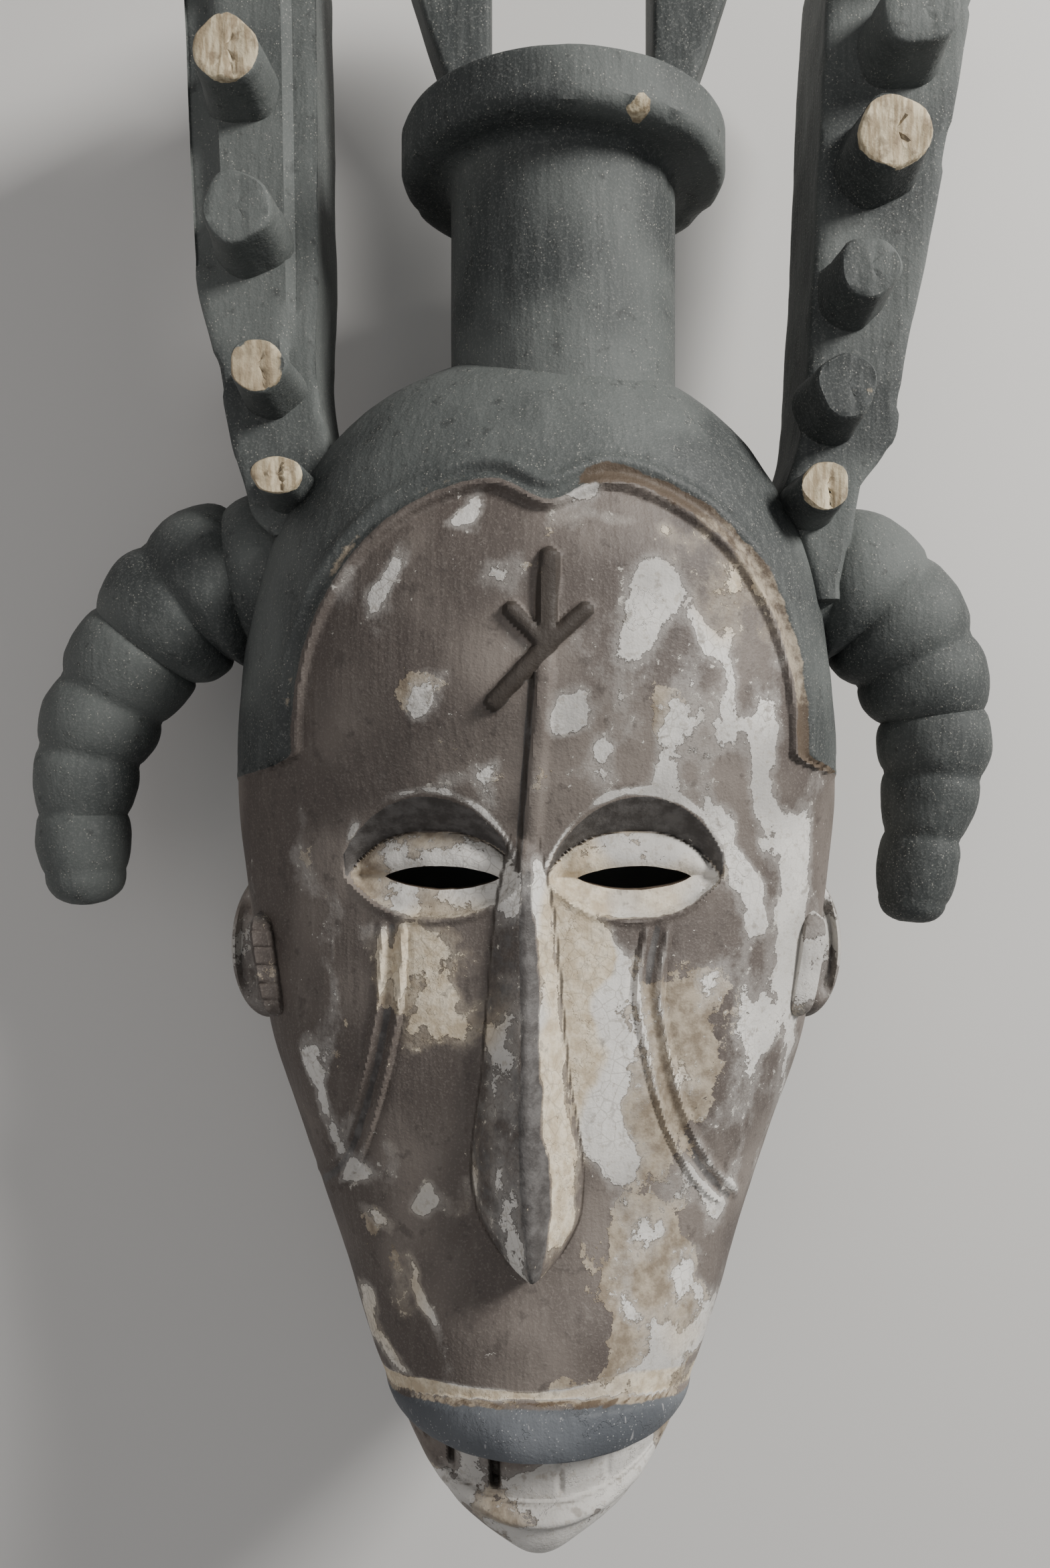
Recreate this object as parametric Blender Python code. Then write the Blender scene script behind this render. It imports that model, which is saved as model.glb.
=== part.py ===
"""Igbo maiden mask, one hollow block of carved wood, lying face up on its back rim.

Metres. +Z is the way the face looks, +Y runs from the chin to the crest, +X is the viewer's right.
The mask is worked out on the rim plane at Z = 0 and moved at the end so that the origin is at the
middle of its box, on the rim plane.
"""
import math

import bpy
import numpy as np

# Head: the hollow block with the face and the hair cap. The face's middle line is at FACE_X.
FACE_X = 0.0
HEAD_LENGTH = 0.367
HEAD_WIDTH = 0.202
HEAD_DEPTH = 0.145
HEAD_WIDEST_Z = 0.074
RIM_INSET = 0.008
JAW_LEAN = 0.036
CROWN_LEAN = 0.024
SIDE_WALL = 0.011
FRONT_WALL = 0.012
CHIN_WALL = 0.018
CROWN_WALL = 0.042

# Eyes, as measured from the face's middle line and from the chin.
EYE_SPACING = 0.058
EYE_FROM_CHIN = 0.198
SLOT_LENGTH = 0.035
SLOT_HEIGHT = 0.0072
SOCKET_LENGTH = 0.056
SOCKET_DEPTH = 0.0070
BROW_RISE = 0.024
LOWER_LID_DROP = 0.015

# Nose.
NOSE_LENGTH = 0.125
NOSE_WIDTH = 0.0325
NOSE_HEIGHT = 0.021
NOSE_ROOT_FROM_CHIN = 0.212
NOSE_SHIFT = -0.0042

# Mouth.
LIP_FROM_CHIN = 0.046
LIP_HALF_LENGTH = 0.0495
LIP_HEIGHT = 0.0151
LIP_RAISE = 0.0072
LIP_CORNER_DROP = 0.0045
TEETH_HEIGHT = 0.0165
TEETH_DEPTH = 0.003
LOWER_LIP_HEIGHT = 0.008
LOWER_LIP_RAISE = 0.003

# Hairline, forehead mark and cheek scars.
HAIRLINE_SHIFT = 0.0025
HAIRLINE_HALF_WIDTH = 0.0755
HAIRLINE_FROM_CHIN = 0.236
HAIRLINE_RISE = 0.078
HAIRLINE_NOTCH = 0.009
HAIRLINE_END = 0.016
HAIR_RAISE = 0.0025
RIDGE_WIDTH = 0.0046
RIDGE_RAISE = 0.0014
MARK_SHIFT = 0.002
MARK_FROM_CHIN = 0.265
MARK_WIDTH = 0.0052
MARK_RAISE = 0.0026
MARK_TOP_ARM = 0.024
MARK_SIDE_ARM = 0.015
MARK_LONG_ARM = 0.0225
SCAR_GAP = 0.0062
SCAR_WIDTH = 0.0028
SCAR_RAISE = 0.0016
SCAR_DROP = 0.084

# Ears.
EAR_HEIGHT = 0.052
EAR_DEPTH = 0.036
EAR_STAND_OUT = 0.0135
EAR_FROM_CHIN = 0.169
EAR_Z = 0.056
EAR_HOLLOW = 0.007
EAR_PAD_HEIGHT = 0.034
EAR_PAD_WIDTH = 0.0085
EAR_PAD_DEPTH = 0.025
EAR_PAD_Z = 0.094

# Topknot column, collar and the loop above it. The crest stands a little to the right of the face.
CREST_SHIFT = 0.0085
CREST_Z = 0.087
COLUMN_RADIUS = 0.0368
COLUMN_FROM_CHIN = 0.318
COLLAR_FROM_CHIN = 0.4215
COLLAR_RADIUS = 0.053
COLLAR_THICKNESS = 0.017
COLLAR_EDGE = 0.0018
LOOP_SHIFT = 0.0025
LOOP_HEIGHT = 0.122
LOOP_FOOT_HALF_WIDTH = 0.035
LOOP_HALF_WIDTH = 0.056
LOOP_OPENING_HALF_WIDTH = 0.0262
LOOP_TOP_THICKNESS = 0.026
LOOP_DEPTH = 0.028
LOOP_EDGE = 0.002
LOOP_SINK = 0.005

# Upright studded bands. BAND_SPREAD and BAND_WIDTH are measured near their tops. Stations: share of
# the height from foot to top, share of half the spread from the crest's middle, share of the width.
BAND_BACK_Z = 0.057
BAND_FRONT_Z = 0.100
BAND_TOP_FROM_CHIN = 0.524
BAND_EDGE = 0.0022
BAND_TOE_HALF_WIDTH = 0.0045
LEFT_BAND_FOOT_FROM_CHIN = 0.3055
RIGHT_BAND_FOOT_FROM_CHIN = 0.285
BAND_SPREAD = 0.2155
BAND_WIDTH = 0.050
LEFT_BAND_SHARES = ((0.0526, -0.8167, 0.54), (0.1396, -0.8492, 0.63), (0.2357, -0.8863, 0.636),
                    (0.3959, -0.9188, 0.8), (0.7803, -0.942, 0.866), (1.0, -0.9606, 0.9))
RIGHT_BAND_SHARES = ((0.1548, 0.7749, 0.49), (0.2301, 0.8538, 0.62), (0.2971, 0.8677, 0.62),
                     (0.4644, 0.916, 0.736), (0.7992, 0.9986, 0.94), (1.0, 1.0394, 1.0))
KNOB_LENGTH = 0.021
KNOB_TOP_RADIUS = 0.0130
KNOB_FOOT_RADIUS = 0.0082
KNOB_TAPER = 0.06
KNOB_OFFSET = 0.001
LEFT_KNOBS = 5
RIGHT_KNOBS = 6
LEFT_KNOB_PITCH = 0.0445
RIGHT_KNOB_PITCH = 0.0368
FIRST_KNOB_FROM_CHIN = 0.3175

# Ringed side braids. BRAID_STAND_OFF is how far the outermost part of their middle lines stands out
# from the head's side. Stations from the root: share of that whole reach from the face's middle,
# share of the drop from root to tip, share of the radius at the root.
BRAID_STAND_OFF = 0.047
BRAID_SHIFT = -0.010
BRAID_FROM_CHIN = 0.300
LEFT_BRAID_DROP = 0.106
RIGHT_BRAID_DROP = 0.114
BRAID_RADIUS = 0.0285
BRAID_Z = 0.066
BRAID_RINGS = 7
BRAID_NOTCH = 0.11
LEFT_BRAID_SHARES = ((0.473, 0.0, 1.0), (0.689, 0.0566, 1.0), (0.811, 0.1792, 0.8947),
                     (0.892, 0.3208, 0.7719), (0.966, 0.5189, 0.7018), (1.0, 0.7547, 0.5965),
                     (0.993, 1.0, 0.5439))
RIGHT_BRAID_SHARES = ((0.595, 0.0, 1.0), (0.811, 0.0614, 0.9649), (0.926, 0.2018, 0.8596),
                      (0.993, 0.4035, 0.7368), (1.0, 0.5965, 0.6491), (0.98, 0.7807, 0.5263),
                      (0.953, 1.0, 0.4561))

# How finely the forms are faceted.
HEAD_ROWS = 190
HEAD_COLUMNS = 200
HEAD_TRIANGLES = 3950
CAVITY_ROWS = 22
CAVITY_COLUMNS = 20
BRAID_SIDES = 16
BRAID_FACETS_PER_RING = 4
LATHE_SIDES = 40
KNOB_SIDES = 14

# Free form of the head, as shares. First number: share of the length from chin to crown.
WIDTH_SHARES = ((0.0, 0.0), (0.019, 0.21), (0.041, 0.34), (0.112, 0.515), (0.221, 0.663),
                (0.306, 0.777), (0.401, 0.896), (0.535, 0.975), (0.61, 1.0), (0.705, 0.985),
                (0.797, 0.926), (0.899, 0.743), (0.968, 0.455), (1.0, 0.0))
HEIGHT_SHARES = ((0.0, 0.89), (0.012, 0.95), (0.03, 0.98), (0.07, 1.005), (0.13, 1.025),
                 (0.18, 1.02), (0.232, 0.98), (0.29, 0.952), (0.40, 0.945), (0.51, 0.924),
                 (0.57, 0.92), (0.62, 0.955), (0.70, 1.0), (0.78, 1.0), (0.86, 0.952),
                 (0.905, 0.91), (0.945, 0.855), (0.975, 0.76), (1.0, 0.60))
WIDEST_SHARES = ((0.0, 1.42), (0.11, 1.19), (0.22, 1.08), (0.40, 1.01), (0.62, 0.985),
                 (0.80, 1.01), (1.0, 1.14))

# Sweep of each cheek scar. First number: share of its drop. Second: share of half the head's width.
LEFT_SCAR_SHARES = ((0.0, 0.430), (0.22, 0.437), (0.44, 0.468), (0.67, 0.520), (0.85, 0.578), (1.0, 0.680))
RIGHT_SCAR_SHARES = ((0.0, 0.345), (0.20, 0.318), (0.42, 0.345), (0.64, 0.394), (0.84, 0.475), (1.0, 0.580))


def through(stations, at):
    """Smooth curve without overshoot through a few (position, value) stations."""
    xs = np.array([station[0] for station in stations], dtype=float)
    ys = np.array([station[1] for station in stations], dtype=float)
    span = np.diff(xs)
    slope = np.diff(ys) / span
    tangent = np.zeros_like(ys)
    tangent[0] = slope[0]
    tangent[-1] = slope[-1]
    rising = slope[:-1] * slope[1:] > 0
    total = np.where(rising, slope[:-1] + slope[1:], 1.0)
    tangent[1:-1] = np.where(rising, 2 * slope[:-1] * slope[1:] / total, 0.0)
    at = np.asarray(at, dtype=float)
    k = np.clip(np.searchsorted(xs, at, side="right") - 1, 0, len(xs) - 2)
    t = np.clip((at - xs[k]) / span[k], 0.0, 1.0)
    a = (1 + 2 * t) * (1 - t) ** 2
    b = t * (1 - t) ** 2
    c = t * t * (3 - 2 * t)
    d = t * t * (t - 1)
    return a * ys[k] + b * span[k] * tangent[k] + c * ys[k + 1] + d * span[k] * tangent[k + 1]


def end_eased(share):
    """Share of length turned into an even angle, so that both ends of the head are round."""
    return np.arccos(np.clip(1 - 2 * np.asarray(share, dtype=float), -1, 1)) / math.pi


def step(low, high, value):
    """Smooth step from 0 at low to 1 at high."""
    t = np.clip((value - low) / (high - low), 0.0, 1.0)
    return t * t * (3 - 2 * t)


def bump(distance, width):
    """Round-topped bump, 1 at no distance and 0 at half its width."""
    t = np.clip(np.abs(distance) / (width / 2), 0.0, 1.0)
    return (1 - t * t) ** 2


def plateau(distance, width, edge):
    """Flat-topped bump with sloping edges."""
    return 1 - step(width / 2 - edge, width / 2 + edge, np.abs(distance))


def half_width(share):
    stations = [(float(end_eased(at)), value) for at, value in WIDTH_SHARES]
    return through(stations, end_eased(share))


def front_height(share):
    return HEAD_DEPTH * through(HEIGHT_SHARES, share)


def widest_level(share):
    return HEAD_WIDEST_Z * through(WIDEST_SHARES, share)


def lean(share, z):
    """How far a point moves along the head for the sloping jaw and the round crown."""
    jaw = JAW_LEAN * (1 - step(0.0, 0.34, share)) * np.clip(1 - z / float(front_height(0.0)), 0, 1)
    level = widest_level(share)
    back = np.clip((level - z) / level, 0, 1)
    crown = CROWN_LEAN * step(0.70, 1.0, share) * back ** 2
    return jaw - crown


def segment_distance(x, y, x0, y0, x1, y1):
    """Distance to a straight segment, and how far along it the nearest point is."""
    dx = x1 - x0
    dy = y1 - y0
    t = np.clip(((x - x0) * dx + (y - y0) * dy) / (dx * dx + dy * dy), 0, 1)
    return np.hypot(x - x0 - t * dx, y - y0 - t * dy), t


def hairline_gap(x, y):
    """Signed distance from the hairline, more than 0 in the hair."""
    rise = y - HAIRLINE_FROM_CHIN
    off = x - HAIRLINE_SHIFT
    notch = HAIRLINE_NOTCH * bump(off, 0.55 * HAIRLINE_HALF_WIDTH) / HAIRLINE_RISE
    up = np.clip(rise / HAIRLINE_RISE, 0, None) + notch
    radius = (np.abs(off / HAIRLINE_HALF_WIDTH) ** 2.2 + up ** 2.2) ** (1 / 2.2)
    size = HAIRLINE_RISE * np.abs(up) / np.maximum(radius, 1e-6)
    reach = size + HAIRLINE_HALF_WIDTH * (1 - size / HAIRLINE_RISE)
    outward = HEAD_WIDTH / 2 * (np.clip(-rise, 0, None) / HAIRLINE_END) ** 2
    return (radius - 1) * np.minimum(reach, HAIRLINE_HALF_WIDTH) - outward


def eye_relief(x, y):
    """The sunken sockets under the brows, with a slightly domed lid."""
    side = (np.abs(x) - EYE_SPACING / 2) / (SOCKET_LENGTH / 2)
    inside = np.clip(1 - side * side, 0, 1)
    rise = y - EYE_FROM_CHIN
    top = BROW_RISE * inside ** 0.75
    bottom = -LOWER_LID_DROP * inside ** 0.8
    span = np.maximum(top - bottom, 1e-6)
    t = (top - rise) / span
    within = (t > 0) & (t < 1) & (inside > 0)
    shape = step(0.0, 0.34, t) * (1 - step(0.55, 1.0, t))
    sunk = SOCKET_DEPTH * shape * np.clip(inside * 2.2, 0, 1)
    lid = 0.0018 * np.clip(1 - side ** 2 - (rise / (LOWER_LID_DROP * 0.85)) ** 2, 0, 1)
    return np.where(within, lid - sunk, 0.0)


def nose_half_width(t):
    shares = ((0.0, 0.24), (0.20, 0.54), (0.55, 0.78), (0.78, 1.0), (0.87, 0.93),
              (0.94, 0.66), (0.98, 0.36), (1.0, 0.0))
    return NOSE_WIDTH / 2 * through(shares, t)


def nose_relief(x, y):
    """Long keel-shaped nose, highest just above its pointed tip."""
    t = (NOSE_ROOT_FROM_CHIN - y) / NOSE_LENGTH
    inside = (t > 0) & (t < 1)
    t = np.clip(t, 0, 1)
    half = np.maximum(nose_half_width(t), 1e-5)
    ridge = NOSE_HEIGHT * through(((0.0, 0.16), (0.3, 0.42), (0.7, 0.85), (0.92, 1.0), (0.965, 0.90), (1.0, 0.30)), t)
    middle = NOSE_SHIFT * (1 - 0.55 * t ** 4)
    across = np.clip(1 - np.abs(x - middle) / half, 0, 1)
    return np.where(inside, ridge * across ** 0.72, 0.0)


def mouth_relief(x, y):
    """Upper lip standing out like a shelf, with the teeth and the lower lip under it."""
    along = np.clip(np.abs(x) / LIP_HALF_LENGTH, 0, 1)
    middle = LIP_FROM_CHIN - LIP_CORNER_DROP * along ** 2
    half = LIP_HEIGHT / 2 * (1 - 0.96 * along ** 3)
    off = y - middle
    near = np.abs(x) < LIP_HALF_LENGTH * 1.04
    face_edge = step(-0.0012, 0.0012, half - off)
    mouth_edge = step(-0.0008, 0.0008, off + half)
    roll = 0.72 + 0.28 * (1 - np.clip(np.abs(off) / np.maximum(half, 1e-5), 0, 1) ** 2)
    lip = LIP_RAISE * (1 - 0.45 * along ** 2) * face_edge * mouth_edge * roll
    fade = np.sqrt(np.clip(1 - (np.abs(x) / (LIP_HALF_LENGTH * 0.80)) ** 2, 0, 1))
    below = -(off + half)
    teeth_height = TEETH_HEIGHT * fade
    teeth = -TEETH_DEPTH * fade * step(0, 0.0012, below) * (1 - step(-0.001, 0.001, below - teeth_height))
    lower = LOWER_LIP_RAISE * fade * bump(below - teeth_height - LOWER_LIP_HEIGHT / 2, LOWER_LIP_HEIGHT)
    return np.where(near, lip + teeth + lower, 0.0)


def mark_relief(x, y):
    """Raised forehead mark: an upright, two short arms, one long arm and the line to the nose."""
    arms = (
        (0.0, MARK_TOP_ARM),
        (-0.70 * MARK_SIDE_ARM, 0.70 * MARK_SIDE_ARM),
        (0.76 * MARK_SIDE_ARM, 0.66 * MARK_SIDE_ARM),
        (-0.68 * MARK_LONG_ARM, -0.73 * MARK_LONG_ARM),
    )
    height = np.zeros_like(x)
    for dx, dy in arms:
        gap, t = segment_distance(x, y, MARK_SHIFT, MARK_FROM_CHIN, MARK_SHIFT + dx, MARK_FROM_CHIN + dy)
        height = np.maximum(height, plateau(gap, MARK_WIDTH, 0.0010))
    gap, t = segment_distance(x, y, MARK_SHIFT, MARK_FROM_CHIN, NOSE_SHIFT, NOSE_ROOT_FROM_CHIN)
    height = np.maximum(height, 0.8 * plateau(gap, MARK_WIDTH * 0.8, 0.0010))
    return MARK_RAISE * height


def scar_relief(x, y):
    """A pair of raised lines that falls from under each eye and sweeps out over the cheek."""
    start = EYE_FROM_CHIN - LOWER_LID_DROP
    fall = (start - y) / SCAR_DROP
    height = np.zeros_like(x)
    for side, shares in ((-1, LEFT_SCAR_SHARES), (1, RIGHT_SCAR_SHARES)):
        path = HEAD_WIDTH / 2 * through(shares, fall)
        lower = HEAD_WIDTH / 2 * through(shares, fall + 0.01)
        slant = np.sqrt(1 + ((lower - path) / (0.01 * SCAR_DROP)) ** 2)
        gap = (side * x - path) / slant
        lines = bump(gap - SCAR_GAP / 2, SCAR_WIDTH) + bump(gap + SCAR_GAP / 2, SCAR_WIDTH)
        height = height + lines * (side * x > 0)
    ends = step(-0.02, 0.02, fall) * (1 - step(0.98, 1.02, fall))
    return SCAR_RAISE * ends * height


def hair_relief(x, y):
    """The hair cap stands proud of the face, edged by a pair of ridges."""
    gap = hairline_gap(x, y)
    low = step(HAIRLINE_FROM_CHIN - HAIRLINE_END, HAIRLINE_FROM_CHIN - 0.5 * HAIRLINE_END, y)
    ridges = bump(gap, RIDGE_WIDTH) + bump(gap - 1.6 * RIDGE_WIDTH, RIDGE_WIDTH)
    return low * (HAIR_RAISE * step(-0.0008, 0.0012, gap) + RIDGE_RAISE * ridges)


def carving(x, y):
    """Everything carved on the front, as a height added to the plain head."""
    height = nose_relief(x, y)
    height = np.maximum(height, mark_relief(x, y)) + eye_relief(x, y)
    return height + mouth_relief(x, y) + scar_relief(x, y) + hair_relief(x, y)


def head_points(rows, columns, length_from, length_to, side_wall, front_wall):
    """Grid of points over the head, from the left rim over the face to the right rim."""
    ease = (1 - np.cos(math.pi * np.linspace(0.028, 0.972, rows))) / 2
    share = (length_from + (length_to - length_from) * ease) / HEAD_LENGTH
    across = np.linspace(-1, 1, columns)
    front = 0.70
    angle = np.clip(across / front, -1, 1) * math.pi / 2
    down = np.clip((np.abs(across) - front) / (1 - front), 0, 1)
    half = (HEAD_WIDTH / 2 - side_wall) * half_width(ease)
    level = widest_level(share)
    top = np.maximum(front_height(share) - front_wall, level + 0.004)
    inset = RIM_INSET * np.clip(half / (HEAD_WIDTH / 2), 0, 1)
    x = half[:, None] * np.sin(angle) - inset[:, None] * np.sign(across) * down ** 2
    dome = np.cos(angle) ** 1.06
    z = level[:, None] * (1 - down) + (top - level)[:, None] * dome
    y = share[:, None] * HEAD_LENGTH + lean(share[:, None], z)
    return x, y, z


def surface_normals(x, y, z):
    points = np.stack((x, y, z), axis=-1)
    along = np.gradient(points, axis=0)
    across = np.gradient(points, axis=1)
    normal = np.cross(across, along)
    return normal / np.maximum(np.linalg.norm(normal, axis=-1, keepdims=True), 1e-12)


def grid_faces(rows, columns):
    """Faces of a grid whose two long edges and two ends are closed by strips."""
    faces = []
    for j in range(rows - 1):
        for i in range(columns - 1):
            a = j * columns + i
            faces.append((a, a + 1, a + columns + 1, a + columns))
        a = j * columns
        faces.append((a, a + columns, a + 2 * columns - 1, a + columns - 1))
    last = (rows - 1) * columns
    for i in range(columns // 2):
        left = i
        right = columns - 1 - i
        if right - left > 2:
            faces.append((left, right, right - 1, left + 1))
            faces.append((last + left, last + left + 1, last + right - 1, last + right))
        elif right - left == 2:
            faces.append((left, right, left + 1))
            faces.append((last + left, last + left + 1, last + right))
    return faces


def new_solid(name, forms, collection):
    """One object from one or more closed forms, each a pair of points and faces."""
    points = []
    faces = []
    for form_points, form_faces in forms:
        first = len(points)
        points.extend(form_points)
        faces.extend(tuple(first + corner for corner in face) for face in form_faces)
    mesh = bpy.data.meshes.new(name)
    mesh.from_pydata(points, [], faces)
    solid = bpy.data.objects.new(name, mesh)
    collection.objects.link(solid)
    return solid


def plain(grid):
    return [tuple(float(v) for v in p) for p in grid]


def head_solid(collection):
    x, y, z = head_points(HEAD_ROWS, HEAD_COLUMNS, 0.0, HEAD_LENGTH, 0.0, 0.0)
    normal = surface_normals(x, y, z)
    facing = step(0.05, 0.55, normal[..., 2])
    z = z + carving(x, y) * facing
    points = plain(np.stack((x, y, z), axis=-1).reshape(-1, 3))
    solid = new_solid("mask", [(points, grid_faces(HEAD_ROWS, HEAD_COLUMNS))], collection)
    triangles = 2 * HEAD_ROWS * HEAD_COLUMNS
    reduce = solid.modifiers.new("fewer facets", "DECIMATE")
    reduce.ratio = min(1.0, HEAD_TRIANGLES / triangles)
    return solid


def cavity():
    """The hollow behind the face, open at the rim plane."""
    top_end = HEAD_LENGTH - CROWN_WALL
    x, y, z = head_points(CAVITY_ROWS, CAVITY_COLUMNS, CHIN_WALL, top_end, SIDE_WALL, FRONT_WALL)
    z = z.copy()
    z[:, 0] = -0.01
    z[:, -1] = -0.01
    points = plain(np.stack((x, y, z), axis=-1).reshape(-1, 3))
    return points, grid_faces(CAVITY_ROWS, CAVITY_COLUMNS)


def lathe(profile, sides, x, z):
    """Turned solid about an upright axis, from (radius, height) pairs between two axis points."""
    points = [(x, profile[0][1], z)]
    faces = []
    for radius, height in profile[1:-1]:
        for k in range(sides):
            angle = 2 * math.pi * k / sides
            points.append((x + radius * math.cos(angle), height, z + radius * math.sin(angle)))
    points.append((x, profile[-1][1], z))
    rings = len(profile) - 2
    end = len(points) - 1
    for k in range(sides):
        n = (k + 1) % sides
        faces.append((0, 1 + k, 1 + n))
        for r in range(rings - 1):
            a = 1 + r * sides
            faces.append((a + k, a + sides + k, a + sides + n, a + n))
        a = 1 + (rings - 1) * sides
        faces.append((a + k, end, a + n))
    return points, faces


def slab(outline, back, front, edge):
    """Flat form cut to an outline, with its front and back edges eased."""
    outline = np.array(outline)
    ahead = np.roll(outline, -1, axis=0) - outline
    behind = outline - np.roll(outline, 1, axis=0)
    ahead = ahead / np.linalg.norm(ahead, axis=1, keepdims=True)
    behind = behind / np.linalg.norm(behind, axis=1, keepdims=True)
    inward = np.stack((-(ahead + behind)[:, 1], (ahead + behind)[:, 0]), axis=1)
    inward = inward / np.linalg.norm(inward, axis=1, keepdims=True)
    small = outline + inward * edge
    count = len(outline)
    levels = ((small, back), (outline, back + edge), (outline, front - edge), (small, front))
    points = []
    for ring, z in levels:
        points.extend((float(p[0]), float(p[1]), z) for p in ring)
    faces = [tuple(reversed(range(count))), tuple(range(3 * count, 4 * count))]
    for level in range(3):
        a = level * count
        for k in range(count):
            n = (k + 1) % count
            faces.append((a + k, a + n, a + count + n, a + count + k))
    return points, faces


def band_foot(side):
    return LEFT_BAND_FOOT_FROM_CHIN if side < 0 else RIGHT_BAND_FOOT_FROM_CHIN


def band_middle(side, y):
    """Middle line and width of an upright band at a height."""
    stations = LEFT_BAND_SHARES if side < 0 else RIGHT_BAND_SHARES
    up = (y - band_foot(side)) / (BAND_TOP_FROM_CHIN - band_foot(side))
    middle = BAND_SPREAD / 2 * through([(at, out) for at, out, wide in stations], up)
    width = BAND_WIDTH * through([(at, wide) for at, out, wide in stations], up)
    return FACE_X + CREST_SHIFT + middle, width


def band_outline(side):
    """Outline of an upright band: narrow at its foot, wider to its rounded top."""
    foot_y = band_foot(side)
    first_share = (LEFT_BAND_SHARES if side < 0 else RIGHT_BAND_SHARES)[0][0]
    start = foot_y + first_share * (BAND_TOP_FROM_CHIN - foot_y)
    top_width = float(band_middle(side, BAND_TOP_FROM_CHIN)[1])
    shoulder = BAND_TOP_FROM_CHIN - top_width / 2
    right = []
    left = []
    steps = 10
    for k in range(steps + 1):
        y = start + (shoulder - start) * k / steps
        middle, width = band_middle(side, y)
        right.append((float(middle + width / 2), y))
        left.append((float(middle - width / 2), y))
    cap = []
    middle = (right[-1][0] + left[-1][0]) / 2
    reach = (right[-1][0] - left[-1][0]) / 2
    for k in range(1, 8):
        angle = math.pi * k / 8
        cap.append((middle + reach * math.cos(angle), shoulder + top_width / 2 * math.sin(angle)))
    foot_x = (right[0][0] + left[0][0]) / 2
    foot = [(foot_x - BAND_TOE_HALF_WIDTH, foot_y), (foot_x + BAND_TOE_HALF_WIDTH, foot_y)]
    return foot + right + cap + list(reversed(left))


def knobs(side):
    """Round knobs up the front of a band, larger towards the top."""
    count = LEFT_KNOBS if side < 0 else RIGHT_KNOBS
    pitch = LEFT_KNOB_PITCH if side < 0 else RIGHT_KNOB_PITCH
    forms = []
    for k in range(count):
        y = FIRST_KNOB_FROM_CHIN + (0.0 if side > 0 else 0.002) + pitch * k
        radius = KNOB_FOOT_RADIUS + (KNOB_TOP_RADIUS - KNOB_FOOT_RADIUS) * min(1.0, k / (count - 2))
        x = float(band_middle(side, y)[0]) + KNOB_OFFSET
        sides = KNOB_SIDES
        points = []
        for z, r in ((BAND_FRONT_Z - 0.005, radius), (BAND_FRONT_Z + KNOB_LENGTH, radius * (1 - KNOB_TAPER))):
            for n in range(sides):
                angle = 2 * math.pi * (n + 0.5) / sides
                points.append((x + r * math.cos(angle), y + r * math.sin(angle), z))
        faces = [tuple(reversed(range(sides))), tuple(range(sides, 2 * sides))]
        for n in range(sides):
            m = (n + 1) % sides
            faces.append((n, m, sides + m, sides + n))
        forms.append((points, faces))
    return forms


def curve(stations, t):
    """Even curve through stations of any number of values, t from 0 to 1 along its length."""
    table = np.array(stations, dtype=float)
    gaps = np.linalg.norm(np.diff(table[:, :2], axis=0), axis=1)
    at = np.concatenate(((0.0,), np.cumsum(gaps))) / gaps.sum()
    before = np.vstack((2 * table[0] - table[1], table, 2 * table[-1] - table[-2]))
    k = np.clip(np.searchsorted(at, t, side="right") - 1, 0, len(at) - 2)
    f = ((t - at[k]) / (at[k + 1] - at[k]))[:, None]
    a, b, c, d = before[k], before[k + 1], before[k + 2], before[k + 3]
    return 0.5 * (2 * b + (c - a) * f + (2 * a - 5 * b + 4 * c - d) * f ** 2
                  + (3 * b - a - 3 * c + d) * f ** 3)


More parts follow.
